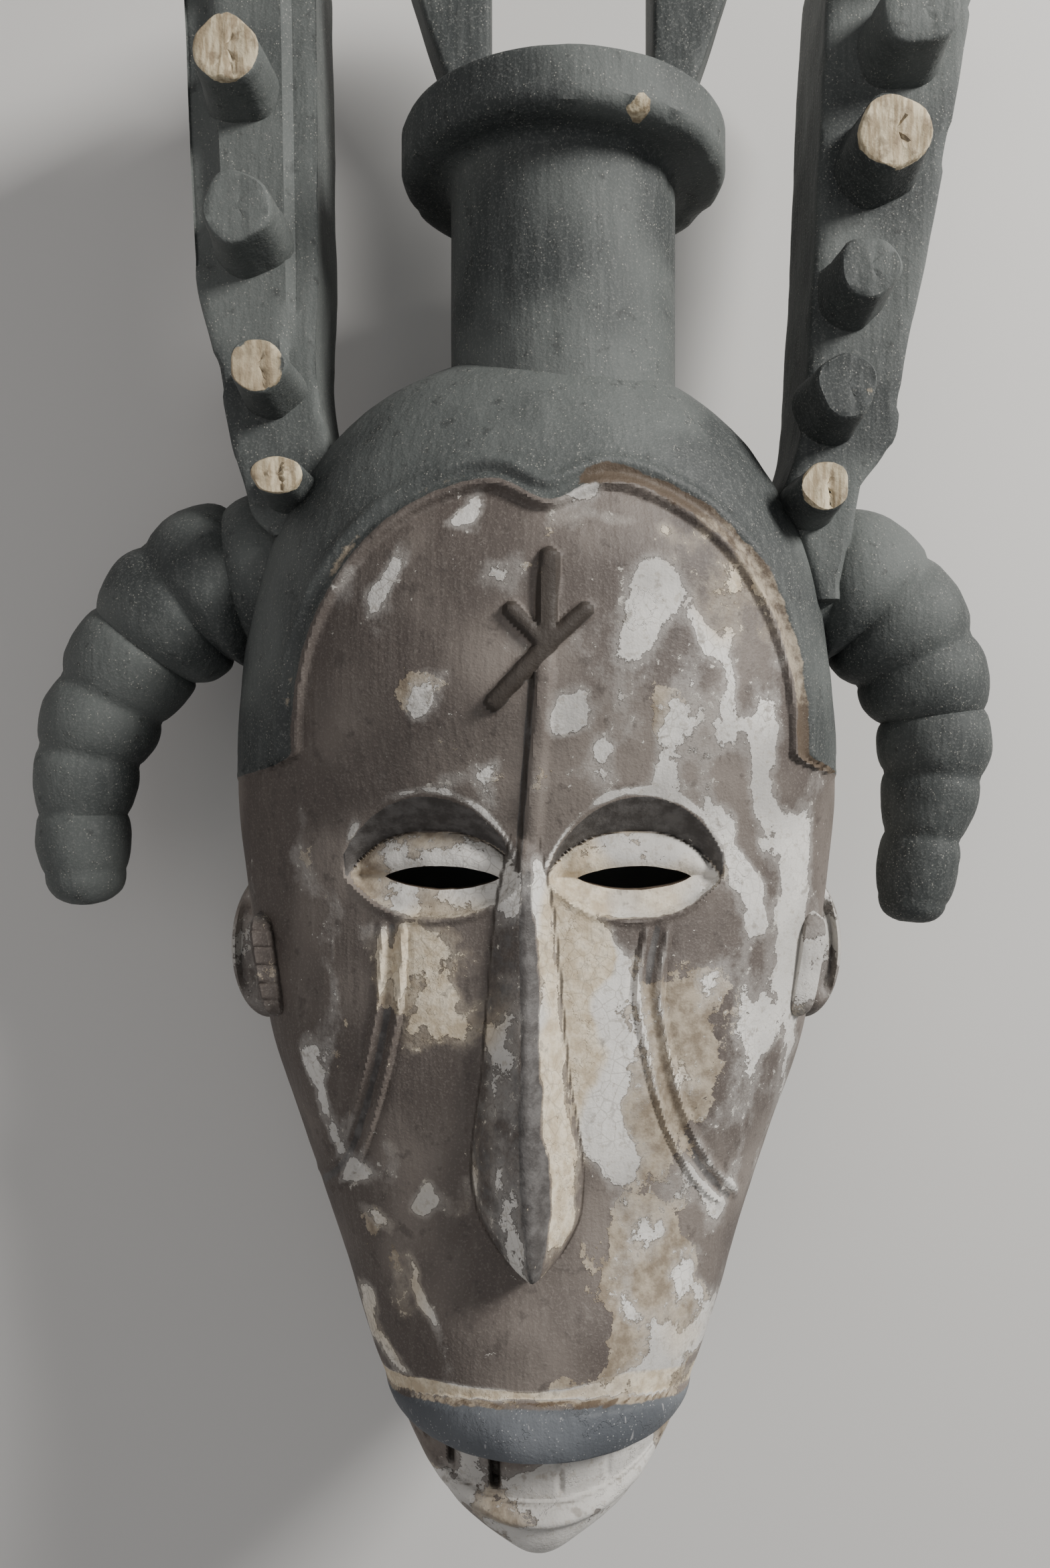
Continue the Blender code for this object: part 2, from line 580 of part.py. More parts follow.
def braid(side):
    """Tapering braid with round bulges between bound rings."""
    count = BRAID_RINGS * BRAID_FACETS_PER_RING + 1
    t = np.linspace(0, 1, count)
    reach = HEAD_WIDTH / 2 + BRAID_STAND_OFF
    drop = LEFT_BRAID_DROP if side < 0 else RIGHT_BRAID_DROP
    stations = [(side * reach * out + BRAID_SHIFT, BRAID_FROM_CHIN - drop * down, BRAID_RADIUS * thick)
                for out, down, thick in (LEFT_BRAID_SHARES if side < 0 else RIGHT_BRAID_SHARES)]
    table = curve(stations, t)
    path = np.stack((FACE_X + table[:, 0], table[:, 1], np.full(count, BRAID_Z)), axis=1)
    run = np.gradient(path, axis=0)
    run = run / np.linalg.norm(run, axis=1, keepdims=True)
    radius = table[:, 2]
    phase = (t * BRAID_RINGS) % 1.0
    bulge = np.sin(math.pi * phase) ** 0.6
    radius = radius * (1 - BRAID_NOTCH + BRAID_NOTCH * 1.3 * bulge)
    points = []
    for j in range(count):
        across = np.array((-run[j][1], run[j][0], 0.0))
        across = across / np.linalg.norm(across)
        for k in range(BRAID_SIDES):
            angle = 2 * math.pi * k / BRAID_SIDES
            offset = radius[j] * (across * math.cos(angle) + np.array((0, 0, 1.0)) * math.sin(angle))
            points.append(tuple(float(v) for v in path[j] + offset))
    tip = path[-1] + run[-1] * radius[-1] * 0.75
    for k in range(BRAID_SIDES):
        base = np.array(points[(count - 1) * BRAID_SIDES + k])
        points.append(tuple(float(v) for v in path[-1] + (base - path[-1]) * 0.70 + run[-1] * radius[-1] * 0.55))
    points.append(tuple(float(v) for v in tip))
    points.append(tuple(float(v) for v in path[0]))
    faces = []
    sides = BRAID_SIDES
    rings = count + 1
    for j in range(rings - 1):
        for k in range(sides):
            n = (k + 1) % sides
            faces.append((j * sides + k, j * sides + n, (j + 1) * sides + n, (j + 1) * sides + k))
    for k in range(sides):
        n = (k + 1) % sides
        faces.append(((rings - 1) * sides + k, (rings - 1) * sides + n, rings * sides))
        faces.append((n, k, rings * sides + 1))
    return points, faces


def loop_outline(outer, steps=9):
    """Half-loop outline, as (half width, height above the collar), from foot to top middle."""
    path = []
    if outer:
        shares = ((0.0, LOOP_FOOT_HALF_WIDTH / LOOP_HALF_WIDTH), (0.36, 0.90), (0.55, 1.0), (0.72, 0.96))
        for k in range(steps + 1):
            t = 0.72 * k / steps
            path.append((LOOP_HALF_WIDTH * float(through(shares, t)), LOOP_HEIGHT * t))
        last = path[-1]
        for k in range(1, 7):
            angle = math.pi / 2 * k / 6
            height = last[1] + (LOOP_HEIGHT - last[1]) * math.sin(angle)
            path.append((last[0] * math.cos(angle), height))
    else:
        top = LOOP_HEIGHT - LOOP_TOP_THICKNESS
        spring = top - LOOP_OPENING_HALF_WIDTH
        path.append((LOOP_OPENING_HALF_WIDTH, 0.0))
        path.append((LOOP_OPENING_HALF_WIDTH, spring))
        for k in range(1, 7):
            angle = math.pi / 2 * k / 6
            height = spring + LOOP_OPENING_HALF_WIDTH * math.sin(angle)
            path.append((LOOP_OPENING_HALF_WIDTH * math.cos(angle), height))
    return path


def mirrored(path, x, base, foot):
    """Closed outline from a half path, carried down by foot below its base."""
    right = [(x + half, base + up) for half, up in path[:-1]]
    left = [(x - half, base + up) for half, up in path[:-1]]
    if foot > 0:
        right.insert(0, (x + path[0][0], base - foot))
        left.insert(0, (x - path[0][0], base - foot))
    return right + [(x, base + path[-1][1])] + list(reversed(left))


def ellipsoid(centre, radii, rows=12, sides=16):
    points = [(centre[0], centre[1] - radii[1], centre[2])]
    for j in range(1, rows):
        angle = math.pi * j / rows
        for k in range(sides):
            turn = 2 * math.pi * k / sides
            points.append((
                centre[0] + radii[0] * math.sin(angle) * math.cos(turn),
                centre[1] - radii[1] * math.cos(angle),
                centre[2] + radii[2] * math.sin(angle) * math.sin(turn),
            ))
    points.append((centre[0], centre[1] + radii[1], centre[2]))
    faces = []
    for k in range(sides):
        n = (k + 1) % sides
        faces.append((0, 1 + k, 1 + n))
        for j in range(rows - 2):
            a = 1 + j * sides
            faces.append((a + k, a + sides + k, a + sides + n, a + n))
        a = 1 + (rows - 2) * sides
        faces.append((a + k, len(points) - 1, a + n))
    return points, faces


def ear_pad(side, side_half):
    """Small raised pad in front of an ear."""
    x = FACE_X + side * (side_half - EAR_PAD_WIDTH)
    corners = [(x + a * EAR_PAD_WIDTH / 2, EAR_FROM_CHIN + b * EAR_PAD_HEIGHT / 2)
               for a, b in ((-1, -1), (1, -1), (1, 1), (-1, 1))]
    return slab(corners, EAR_PAD_Z - EAR_PAD_DEPTH / 2, EAR_PAD_Z + EAR_PAD_DEPTH / 2, 0.1 * EAR_PAD_WIDTH)


def almond(x, y, length, height, z0, z1):
    """Pointed oval prism for an eye slot."""
    outline = []
    steps = 8
    for k in range(steps):
        t = -1 + 2 * k / steps
        outline.append((x + length / 2 * t, y - height / 2 * (1 - t * t) ** 0.8))
    for k in range(steps):
        t = 1 - 2 * k / steps
        outline.append((x + length / 2 * t, y + height / 2 * (1 - t * t) ** 0.8))
    count = len(outline)
    points = [(p[0], p[1], z0) for p in outline] + [(p[0], p[1], z1) for p in outline]
    faces = [tuple(reversed(range(count))), tuple(range(count, 2 * count))]
    for k in range(count):
        n = (k + 1) % count
        faces.append((k, n, count + n, count + k))
    return points, faces


def combine(target, others, operation):
    for other in others:
        other.hide_render = True
        other.display_type = "WIRE"
        cut = target.modifiers.new(operation.lower(), "BOOLEAN")
        cut.operation = operation
        cut.solver = "EXACT"
        cut.object = other


def wood_material():
    wood = bpy.data.materials.new("painted wood")
    wood.use_nodes = True
    shader = wood.node_tree.nodes["Principled BSDF"]
    shader.inputs["Base Color"].default_value = (0.13, 0.115, 0.10, 1.0)
    shader.inputs["Roughness"].default_value = 0.85
    return wood


def build():
    for old in list(bpy.data.objects):
        bpy.data.objects.remove(old, do_unlink=True)
    main = bpy.data.collections.new("igbo maiden mask")
    guides = bpy.data.collections.new("cutters and guides")
    bpy.context.scene.collection.children.link(main)
    bpy.context.scene.collection.children.link(guides)
    guides.hide_render = True

    mask = head_solid(main)
    mask.data.materials.append(wood_material())

    crest_x = FACE_X + CREST_SHIFT
    collar_y = COLLAR_FROM_CHIN
    collar_top = collar_y + COLLAR_THICKNESS
    column_profile = (
        (0.0, COLUMN_FROM_CHIN),
        (COLUMN_RADIUS, COLUMN_FROM_CHIN),
        (COLUMN_RADIUS, collar_y + 0.003),
        (COLLAR_RADIUS - 2 * COLLAR_EDGE, collar_y),
        (COLLAR_RADIUS, collar_y + 2 * COLLAR_EDGE),
        (COLLAR_RADIUS, collar_top - COLLAR_EDGE),
        (COLLAR_RADIUS - COLLAR_EDGE, collar_top),
        (0.0, collar_top),
    )
    loop_x = crest_x + LOOP_SHIFT
    loop_back = CREST_Z - LOOP_DEPTH / 2
    loop_front = CREST_Z + LOOP_DEPTH / 2
    outer = mirrored(loop_outline(True), loop_x, collar_top, LOOP_SINK)
    hole = mirrored(loop_outline(False), loop_x, collar_top, 0.0)
    opening = slab(hole, loop_back - LOOP_SINK, loop_front + LOOP_SINK, 0.1 * LOOP_EDGE)
    side_half = HEAD_WIDTH / 2 * float(half_width(EAR_FROM_CHIN / HEAD_LENGTH))
    ears = []
    pads = []
    hollows = []
    slots = []
    for side in (-1, 1):
        centre = (FACE_X + side * side_half, EAR_FROM_CHIN, EAR_Z)
        ears.append(ellipsoid(centre, (EAR_STAND_OUT, EAR_HEIGHT / 2, EAR_DEPTH / 2)))
        pads.append(ear_pad(side, side_half))
        centre = (FACE_X + side * (side_half + EAR_HOLLOW), EAR_FROM_CHIN, EAR_Z + EAR_DEPTH / 2)
        hollows.append(ellipsoid(centre, (EAR_HOLLOW * 0.75, EAR_HEIGHT * 0.32, EAR_HOLLOW * 1.6), 8, 12))
        x = FACE_X + side * EYE_SPACING / 2
        slots.append(almond(x, EYE_FROM_CHIN, SLOT_LENGTH, SLOT_HEIGHT, HEAD_DEPTH * 0.5, HEAD_DEPTH * 1.2))

    bands = [slab(band_outline(side), BAND_BACK_Z, BAND_FRONT_Z, BAND_EDGE) for side in (-1, 1)]
    added = (
        new_solid("column and collar", [lathe(column_profile, LATHE_SIDES, crest_x, CREST_Z)], guides),
        new_solid("loop", [slab(outer, loop_back, loop_front, LOOP_EDGE)], guides),
        new_solid("bands", bands, guides),
        new_solid("knobs", knobs(-1) + knobs(1), guides),
        new_solid("braids", [braid(-1), braid(1)], guides),
        new_solid("ears", ears, guides),
        new_solid("ear pads", pads, guides),
    )
    removed = (
        new_solid("hollow", [cavity()], guides),
        new_solid("openings", [opening] + slots + hollows, guides),
    )
    combine(mask, added, "UNION")
    combine(mask, removed, "DIFFERENCE")

    bpy.context.view_layer.update()
    graph = bpy.context.evaluated_depsgraph_get()
    shaped = mask.evaluated_get(graph)
    corners = np.array([tuple(v.co) for v in shaped.data.vertices])
    low = corners.min(axis=0)
    high = corners.max(axis=0)
    shift = (-(low[0] + high[0]) / 2, -(low[1] + high[1]) / 2, -low[2])
    for solid in bpy.data.objects:
        solid.location = shift


build()
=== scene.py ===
"""Looks of the igbo maiden mask: the carved block at full detail, its paint and wear, light and camera.

Lengths are in metres. The forms are worked out as in the solid: X from the face's middle line, Y from
the chin, Z from the back rim, and then moved by FRAME_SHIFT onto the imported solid.
"""

import itertools
import math

import bpy
import numpy as np
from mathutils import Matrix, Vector


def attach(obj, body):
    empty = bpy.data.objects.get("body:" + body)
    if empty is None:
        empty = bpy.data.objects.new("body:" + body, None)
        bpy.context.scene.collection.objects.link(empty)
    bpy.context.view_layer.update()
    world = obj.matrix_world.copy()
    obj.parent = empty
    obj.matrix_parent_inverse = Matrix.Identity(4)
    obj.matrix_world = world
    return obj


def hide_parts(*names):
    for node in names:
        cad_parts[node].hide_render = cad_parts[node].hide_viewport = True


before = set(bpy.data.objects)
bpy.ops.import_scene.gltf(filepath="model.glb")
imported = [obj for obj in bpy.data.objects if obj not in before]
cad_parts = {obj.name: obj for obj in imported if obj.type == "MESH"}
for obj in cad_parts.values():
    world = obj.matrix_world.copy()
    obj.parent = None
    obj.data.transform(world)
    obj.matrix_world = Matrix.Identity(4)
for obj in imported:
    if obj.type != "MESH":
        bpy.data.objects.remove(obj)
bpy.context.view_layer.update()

FRAME_SHIFT = np.array((0.008585, -0.280602, 0.0))

# Sizes shared with the solid, from the chin up where they say so.
HEAD_LENGTH = 0.367
HEAD_WIDTH = 0.202
HEAD_DEPTH = 0.145
HEAD_WIDEST_Z = 0.074
RIM_INSET = 0.008
JAW_LEAN = 0.036
CROWN_LEAN = 0.024
SIDE_WALL = 0.011
FRONT_WALL = 0.012
CHIN_WALL = 0.018
CROWN_WALL = 0.042
EYE_SPACING = 0.058
EYE_FROM_CHIN = 0.198
SLOT_LENGTH = 0.035
SLOT_HEIGHT = 0.0072
NOSE_LENGTH = 0.125
NOSE_WIDTH = 0.0325
NOSE_HEIGHT = 0.0205
NOSE_ROOT_FROM_CHIN = 0.212
LIP_FROM_CHIN = 0.046
LIP_HALF_LENGTH = 0.0495
LIP_HEIGHT = 0.0151
LIP_RAISE = 0.0072
LIP_CORNER_DROP = 0.0045
TEETH_HEIGHT = 0.0165
TEETH_DEPTH = 0.003
LOWER_LIP_HEIGHT = 0.008
LOWER_LIP_RAISE = 0.003
HAIRLINE_SHIFT = 0.0025
HAIRLINE_HALF_WIDTH = 0.0755
HAIRLINE_FROM_CHIN = 0.236
HAIRLINE_RISE = 0.078
HAIRLINE_NOTCH = 0.009
HAIRLINE_END = 0.016
CREST_SHIFT = 0.0085
CREST_Z = 0.087
COLUMN_RADIUS = 0.0368
COLUMN_FROM_CHIN = 0.318
COLLAR_FROM_CHIN = 0.4215
COLLAR_RADIUS = 0.053
COLLAR_THICKNESS = 0.017
LOOP_SHIFT = 0.0025
LOOP_HEIGHT = 0.122
LOOP_FOOT_HALF_WIDTH = 0.035
LOOP_HALF_WIDTH = 0.056
LOOP_OPENING_HALF_WIDTH = 0.0262
LOOP_TOP_THICKNESS = 0.026
LOOP_DEPTH = 0.028
BAND_BACK_Z = 0.057
BAND_FRONT_Z = 0.100
BAND_TOP_FROM_CHIN = 0.524
LEFT_BAND_FOOT_FROM_CHIN = 0.3055
RIGHT_BAND_FOOT_FROM_CHIN = 0.285
# Bands: height from the chin, middle from the crest's middle, width.
LEFT_BAND = ((0.317, -0.0880, 0.0270), (0.336, -0.0915, 0.0315), (0.357, -0.0955, 0.0318),
             (0.392, -0.0990, 0.0400), (0.476, -0.1015, 0.0433), (0.524, -0.1035, 0.0450))
RIGHT_BAND = ((0.322, 0.0835, 0.0245), (0.340, 0.0920, 0.0310), (0.356, 0.0935, 0.0310),
              (0.396, 0.0987, 0.0368), (0.476, 0.1076, 0.0470), (0.524, 0.1120, 0.0500))
KNOB_LENGTH = 0.021
BRAID_Z = 0.066
BRAID_RINGS = 7
# Braids: middle in X and from the chin, and radius.
LEFT_BRAID = ((-0.080, 0.300, 0.0285), (-0.112, 0.294, 0.0285), (-0.130, 0.281, 0.0255),
              (-0.142, 0.266, 0.0220), (-0.153, 0.245, 0.0200), (-0.158, 0.220, 0.0170),
              (-0.157, 0.194, 0.0155))
RIGHT_BRAID = ((0.078, 0.300, 0.0285), (0.110, 0.293, 0.0275), (0.127, 0.277, 0.0245),
               (0.137, 0.254, 0.0210), (0.138, 0.232, 0.0185), (0.135, 0.211, 0.0150),
               (0.131, 0.186, 0.0130))
EAR_HEIGHT = 0.052
EAR_DEPTH = 0.036
EAR_STAND_OUT = 0.0135
EAR_FROM_CHIN = 0.169
EAR_Z = 0.056

# Head: share of the length, and share of the width, of the depth and of the widest level there.
WIDTH_SHARES = ((0.0, 0.0), (0.019, 0.21), (0.041, 0.34), (0.112, 0.515), (0.221, 0.663),
                (0.306, 0.777), (0.401, 0.896), (0.535, 0.975), (0.61, 1.0), (0.705, 0.985),
                (0.797, 0.926), (0.899, 0.743), (0.968, 0.455), (1.0, 0.0))
HEIGHT_SHARES = ((0.0, 0.89), (0.012, 0.95), (0.03, 0.98), (0.07, 1.005), (0.13, 1.025),
                 (0.18, 1.02), (0.232, 0.98), (0.29, 0.952), (0.40, 0.945), (0.51, 0.924),
                 (0.57, 0.92), (0.62, 0.955), (0.70, 1.0), (0.78, 1.0), (0.86, 0.952),
                 (0.905, 0.91), (0.945, 0.855), (0.975, 0.76), (1.0, 0.60))
WIDEST_SHARES = ((0.0, 1.42), (0.11, 1.19), (0.22, 1.08), (0.40, 1.01), (0.62, 0.985),
                 (0.80, 1.01), (1.0, 1.14))
# Scars: share of the drop, and share of half the head's width.
LEFT_SCAR_SHARES = ((0.0, 0.430), (0.22, 0.437), (0.44, 0.468), (0.67, 0.520), (0.85, 0.578),
                    (1.0, 0.680))
RIGHT_SCAR_SHARES = ((0.0, 0.345), (0.20, 0.318), (0.42, 0.345), (0.64, 0.394), (0.84, 0.475),
                     (1.0, 0.580))
SCAR_DROP = 0.084
SCAR_FROM_EYE = 0.015

# Sizes of the finer carving.
EYE_MIDDLE = -0.0015
EYE_OFFSET = 0.0305
EYE_HALF_LENGTH = 0.0262
EYE_DEPTH = 0.0072
BROW_RISE = 0.0245
LID_RISE = 0.0138
LID_FALL = 0.0118
NOSE_WIDTH_SHARES = ((0.0, 0.24), (0.20, 0.54), (0.55, 0.78), (0.78, 1.0), (0.87, 0.93), (0.94, 0.66),
                     (0.98, 0.36), (1.0, 0.0))
NOSE_HEIGHT_SHARES = ((0.0, 0.17), (0.3, 0.42), (0.7, 0.86), (0.92, 1.0), (0.965, 0.92), (1.0, 0.35))
# Gaps between the teeth: place across, width, share of the full depth.
TEETH_GAPS = ((-0.0126, 0.0026, 1.0), (-0.0255, 0.0020, 0.50), (-0.0330, 0.0018, 0.30),
              (0.0060, 0.0018, 0.16), (0.0200, 0.0016, 0.12))
MARK_X = 0.0018
MARK_FROM_CHIN = 0.2650
# Ends of the mark's arms from its crossing, and their widths.
MARK_ARMS = ((0.0010, 0.0248, 0.0056), (-0.0098, 0.0100, 0.0044), (0.0112, 0.0100, 0.0044),
             (-0.0148, -0.0160, 0.0048))
MARK_LINE_END = (-0.0026, 0.2060)
PAD_HEIGHT = 0.034
PAD_WIDTH = 0.0085
PAD_DEPTH = 0.025
PAD_INSET = 0.0085
PAD_Z = 0.094

# The face's front takes this share of each row's columns, and its sides the rest.
FRONT_SHARE = 0.70
# Rows start and end this share of a half turn from the tips.
END_SHARE = 0.028
HEAD_ROWS = 412
HEAD_COLUMNS = 228


# Curves and noise.

def through(stations, at):
    """Height at a place on a smooth curve that never overshoots its stations."""
    xs = np.array([s[0] for s in stations], dtype=float)
    ys = np.array([s[1] for s in stations], dtype=float)
    span = np.diff(xs)
    slope = np.diff(ys) / span
    tangent = np.zeros_like(ys)
    tangent[0] = slope[0]
    tangent[-1] = slope[-1]
    rising = slope[:-1] * slope[1:] > 0
    total = np.where(rising, slope[:-1] + slope[1:], 1.0)
    tangent[1:-1] = np.where(rising, 2 * slope[:-1] * slope[1:] / total, 0.0)
    at = np.asarray(at, dtype=float)
    k = np.clip(np.searchsorted(xs, at, side="right") - 1, 0, len(xs) - 2)
    t = np.clip((at - xs[k]) / span[k], 0.0, 1.0)
    a = (1 + 2 * t) * (1 - t) ** 2
    b = t * (1 - t) ** 2
    c = t * t * (3 - 2 * t)
    d = t * t * (t - 1)
    return a * ys[k] + b * span[k] * tangent[k] + c * ys[k + 1] + d * span[k] * tangent[k + 1]


def clipped(value):
    """The value held between 0 and 1."""
    return np.clip(value, 0, 1)


def curve(stations, t):
    """Rows at shares of the way along a smooth path through the stations."""
    table = np.array(stations, dtype=float)
    gaps = np.linalg.norm(np.diff(table[:, :2], axis=0), axis=1)
    at = np.concatenate(((0.0,), np.cumsum(gaps))) / gaps.sum()
    before = np.vstack((2 * table[0] - table[1], table, 2 * table[-1] - table[-2]))
    k = np.clip(np.searchsorted(at, t, side="right") - 1, 0, len(at) - 2)
    f = ((t - at[k]) / (at[k + 1] - at[k]))[:, None]
    a, b, c, d = before[k], before[k + 1], before[k + 2], before[k + 3]
    return 0.5 * (2 * b + (c - a) * f + (2 * a - 5 * b + 4 * c - d) * f ** 2
                  + (3 * b - a - 3 * c + d) * f ** 3)


def end_eased(share):
    """Share of the length drawn out at both ends, where the outline turns fast."""
    return np.arccos(np.clip(1 - 2 * np.asarray(share, dtype=float), -1, 1)) / math.pi


def step(low, high, value):
    """Smooth rise from 0 to 1 between two values."""
    t = np.clip((value - low) / (high - low), 0.0, 1.0)
    return t * t * (3 - 2 * t)


def bump(distance, width):
    """Smooth hill of height 1 and the given width."""
    t = np.clip(np.abs(distance) / (width / 2), 0.0, 1.0)
    return (1 - t * t) ** 2


def plateau(distance, width, edge):
    """Flat top of height 1 and the given width, with a soft edge."""
    return 1 - step(width / 2 - edge, width / 2 + edge, np.abs(distance))


NOISE_CELLS = 64
NOISE_TABLE = np.random.default_rng(7).random((NOISE_CELLS, NOISE_CELLS, NOISE_CELLS))


def noise(points, size, seed=0):
    """Smooth value noise from 0 to 1, with features of about the given size."""
    p = np.asarray(points, dtype=float) / size + 17.31 * (seed + 1)
    base = np.floor(p).astype(int)
    f = p - base
    f = f * f * (3 - 2 * f)
    value = np.zeros(p.shape[:-1])
    for corner in itertools.product((0, 1), repeat=3):
        at = tuple((base[..., k] + corner[k]) % NOISE_CELLS for k in range(3))
        wx, wy, wz = (f[..., k] if corner[k] else 1 - f[..., k] for k in range(3))
        value += NOISE_TABLE[at] * wx * wy * wz
    return value


def rough(points, size, seed=0, octaves=3):
    """Noise about 0 in octaves, each half as large and half as strong as the last."""
    total = 0.0
    amount = 1.0
    norm = 0.0
    for k in range(octaves):
        total = total + amount * (noise(points, size / 2 ** k, seed + 5 * k) - 0.5)
        norm += amount
        amount *= 0.5
    return total / norm


def on_plane(x, y):
    return np.stack((x, y, np.zeros_like(x)), axis=-1)


def segment_distance(x, y, x0, y0, x1, y1):
    """Distance to a straight line, and share of the way along it."""
    dx = x1 - x0
    dy = y1 - y0
    t = np.clip(((x - x0) * dx + (y - y0) * dy) / (dx * dx + dy * dy), 0, 1)
    return np.hypot(x - x0 - t * dx, y - y0 - t * dy), t


# Plain head.

def half_width(share):
    stations = [(float(end_eased(at)), value) for at, value in WIDTH_SHARES]
    return through(stations, end_eased(share))


def front_height(share):
    return HEAD_DEPTH * through(HEIGHT_SHARES, share)


def widest_level(share):
    return HEAD_WIDEST_Z * through(WIDEST_SHARES, share)


def lean(share, z):
    """How far the jaw and the crown lean in Y towards the back rim."""
    jaw = JAW_LEAN * (1 - step(0.0, 0.34, share)) * clipped(1 - z / float(front_height(0.0)))
    level = widest_level(share)
    back = clipped((level - z) / level)
    return jaw - CROWN_LEAN * step(0.70, 1.0, share) * back ** 2


def head_points(ease, across, length_from, length_to, side_wall, front_wall):
    """Plain head, or with walls given the hollow in it, as grids of X, Y and Z."""
    front = FRONT_SHARE
    share = (length_from + (length_to - length_from) * ease) / HEAD_LENGTH
    angle = np.clip(across / front, -1, 1) * math.pi / 2
    down = clipped((np.abs(across) - front) / (1 - front))
    half = (HEAD_WIDTH / 2 - side_wall) * half_width(ease)
    level = widest_level(share)
    top = np.maximum(front_height(share) - front_wall, level + 0.004)
    inset = RIM_INSET * clipped(half / (HEAD_WIDTH / 2))
    x = half[:, None] * np.sin(angle) - inset[:, None] * np.sign(across) * down ** 2
    z = level[:, None] * (1 - down) + (top - level)[:, None] * np.cos(angle) ** 1.06
    y = share[:, None] * HEAD_LENGTH + lean(share[:, None], z)
    return x, y, z


def round_ends(count):
    """Shares of the length that come close together at both ends."""
    return (1 - np.cos(math.pi * np.linspace(END_SHARE, 1 - END_SHARE, count))) / 2


def spread(places, weight, count):
    """Places chosen so that the weight between each two is the same."""
    far = np.cumsum(weight)
    far = (far - far[0]) / (far[-1] - far[0])
    return np.interp(np.linspace(0, 1, count), far, places)


def even_rows(count):
    """Shares of the length spaced evenly along the head's outline, so both ends stay round."""
    ease = round_ends(4000)
    run = np.hypot(np.gradient(ease) * HEAD_LENGTH, 0.75 * np.gradient(half_width(ease)) * HEAD_WIDTH / 2)
    run = run * (1 + 0.60 * plateau(ease - 0.085, 0.14, 0.02) + 0.50 * plateau(ease - 0.545, 0.13, 0.02)
                 + 0.30 * plateau(ease - 0.74, 0.22, 0.02))
    return spread(ease, run, count)


def even_columns(count):
    """Columns closer together over the middle of the face than at its sides."""
    u = np.linspace(-1, 1, 4001)
    angle = np.clip(u / FRONT_SHARE, -1, 1) * math.pi / 2
    weight = np.where(np.abs(u) < FRONT_SHARE, 0.35 + np.cos(angle), 0.14)
    columns = spread(u, weight, count)
    columns[0] = -1
    columns[-1] = 1
    return columns


# Carving on the face, as heights over the plain head.

def hairline_gap(x, y):
    """Signed distance from the hairline, more than 0 in the hair."""
    rise = y - HAIRLINE_FROM_CHIN
    off = x - HAIRLINE_SHIFT
    notch = HAIRLINE_NOTCH * np.exp(-(off / 0.0115) ** 2) / HAIRLINE_RISE
    up = np.clip(rise / HAIRLINE_RISE, 0, None) + notch
    wide = HAIRLINE_HALF_WIDTH
    radius = (np.abs(off / wide) ** 2.2 + up ** 2.2) ** (1 / 2.2)
    size = HAIRLINE_RISE * np.abs(up) / np.maximum(radius, 1e-6)
    reach = size + wide * (1 - size / HAIRLINE_RISE)
    outward = HEAD_WIDTH / 2 * (np.clip(-rise, 0, None) / HAIRLINE_END) ** 2
    return (radius - 1) * np.minimum(reach, wide) - outward


def eye_frame(x, y):
    """Position in an eye: outward share of its half length, and height over its middle."""
    side = (np.abs(x - EYE_MIDDLE) - EYE_OFFSET) / EYE_HALF_LENGTH
    return side, y - EYE_FROM_CHIN


def brow_top(side):
    return BROW_RISE * clipped(1 - np.abs(side * 0.93 - 0.04) ** 2.1) ** 0.72


def lid_top(side):
    return LID_RISE * clipped(1 - np.abs(side + 0.02) ** 2.4) ** 0.8


def lid_bottom(side):
    return -LID_FALL * clipped(1 - np.abs(side + 0.02) ** 2.2) ** 0.85


def eye_relief(x, y):
    """Hollow under the brow with the bulging lids in it."""
    side, rise = eye_frame(x, y)
    rise = rise + 0.0008 * (noise(on_plane(x, y), 0.008, 19) - 0.5)
    inside = clipped(1 - side * side)
    brow = brow_top(side)
    top = lid_top(side)
    bottom = lid_bottom(side)
    deep = EYE_DEPTH * clipped(inside * 3.2) ** 0.6
    fall = clipped((brow - rise) / np.maximum(brow - top, 1e-5))
    slope = deep * (0.10 * step(0.0, 0.16, fall) + 0.90 * fall ** 1.3)
    t = (top - rise) / np.maximum(top - bottom, 1e-5)
    dome = 0.0034 * np.sin(math.pi * clipped(t / 0.55)) ** 0.8 * clipped(inside * 2)
    lower = step(0.50, 0.97, t)
    tooled = 0.0009 * rough(on_plane(x, y), 0.0055, 29, 2) * clipped(inside * 2)
    lid = deep * (1.0 - 0.50 * lower) - dome + tooled
    edge = step(1.0, 0.92, t)
    sunk = np.where(rise > top, slope, lid * edge)
    sunk = np.where((rise > brow) | (rise < bottom) | (np.abs(side) >= 1.07), 0.0, sunk)
    rim = 0.0009 * bump(rise - bottom + 0.0006, 0.0034) * clipped(inside * 3)
    crease = 0.0007 * bump(rise - top, 0.0016) * clipped(inside * 3)
    return rim - np.maximum(sunk, 0) - crease


def nose_middle(t):
    return -0.0042 * (1 - 0.55 * t ** 4)


def nose_half_width(t):
    return NOSE_WIDTH / 2 * through(NOSE_WIDTH_SHARES, t)


def nose_share(x, y):
    """Share of the way down the nose, share of its half width, and whether it is level with it."""
    t = (NOSE_ROOT_FROM_CHIN - y) / NOSE_LENGTH
    inside = (t > 0) & (t < 1)
    t = clipped(t)
    half = np.maximum(nose_half_width(t), 1e-5)
    off = (x - nose_middle(t)) / half
    return t, off, inside


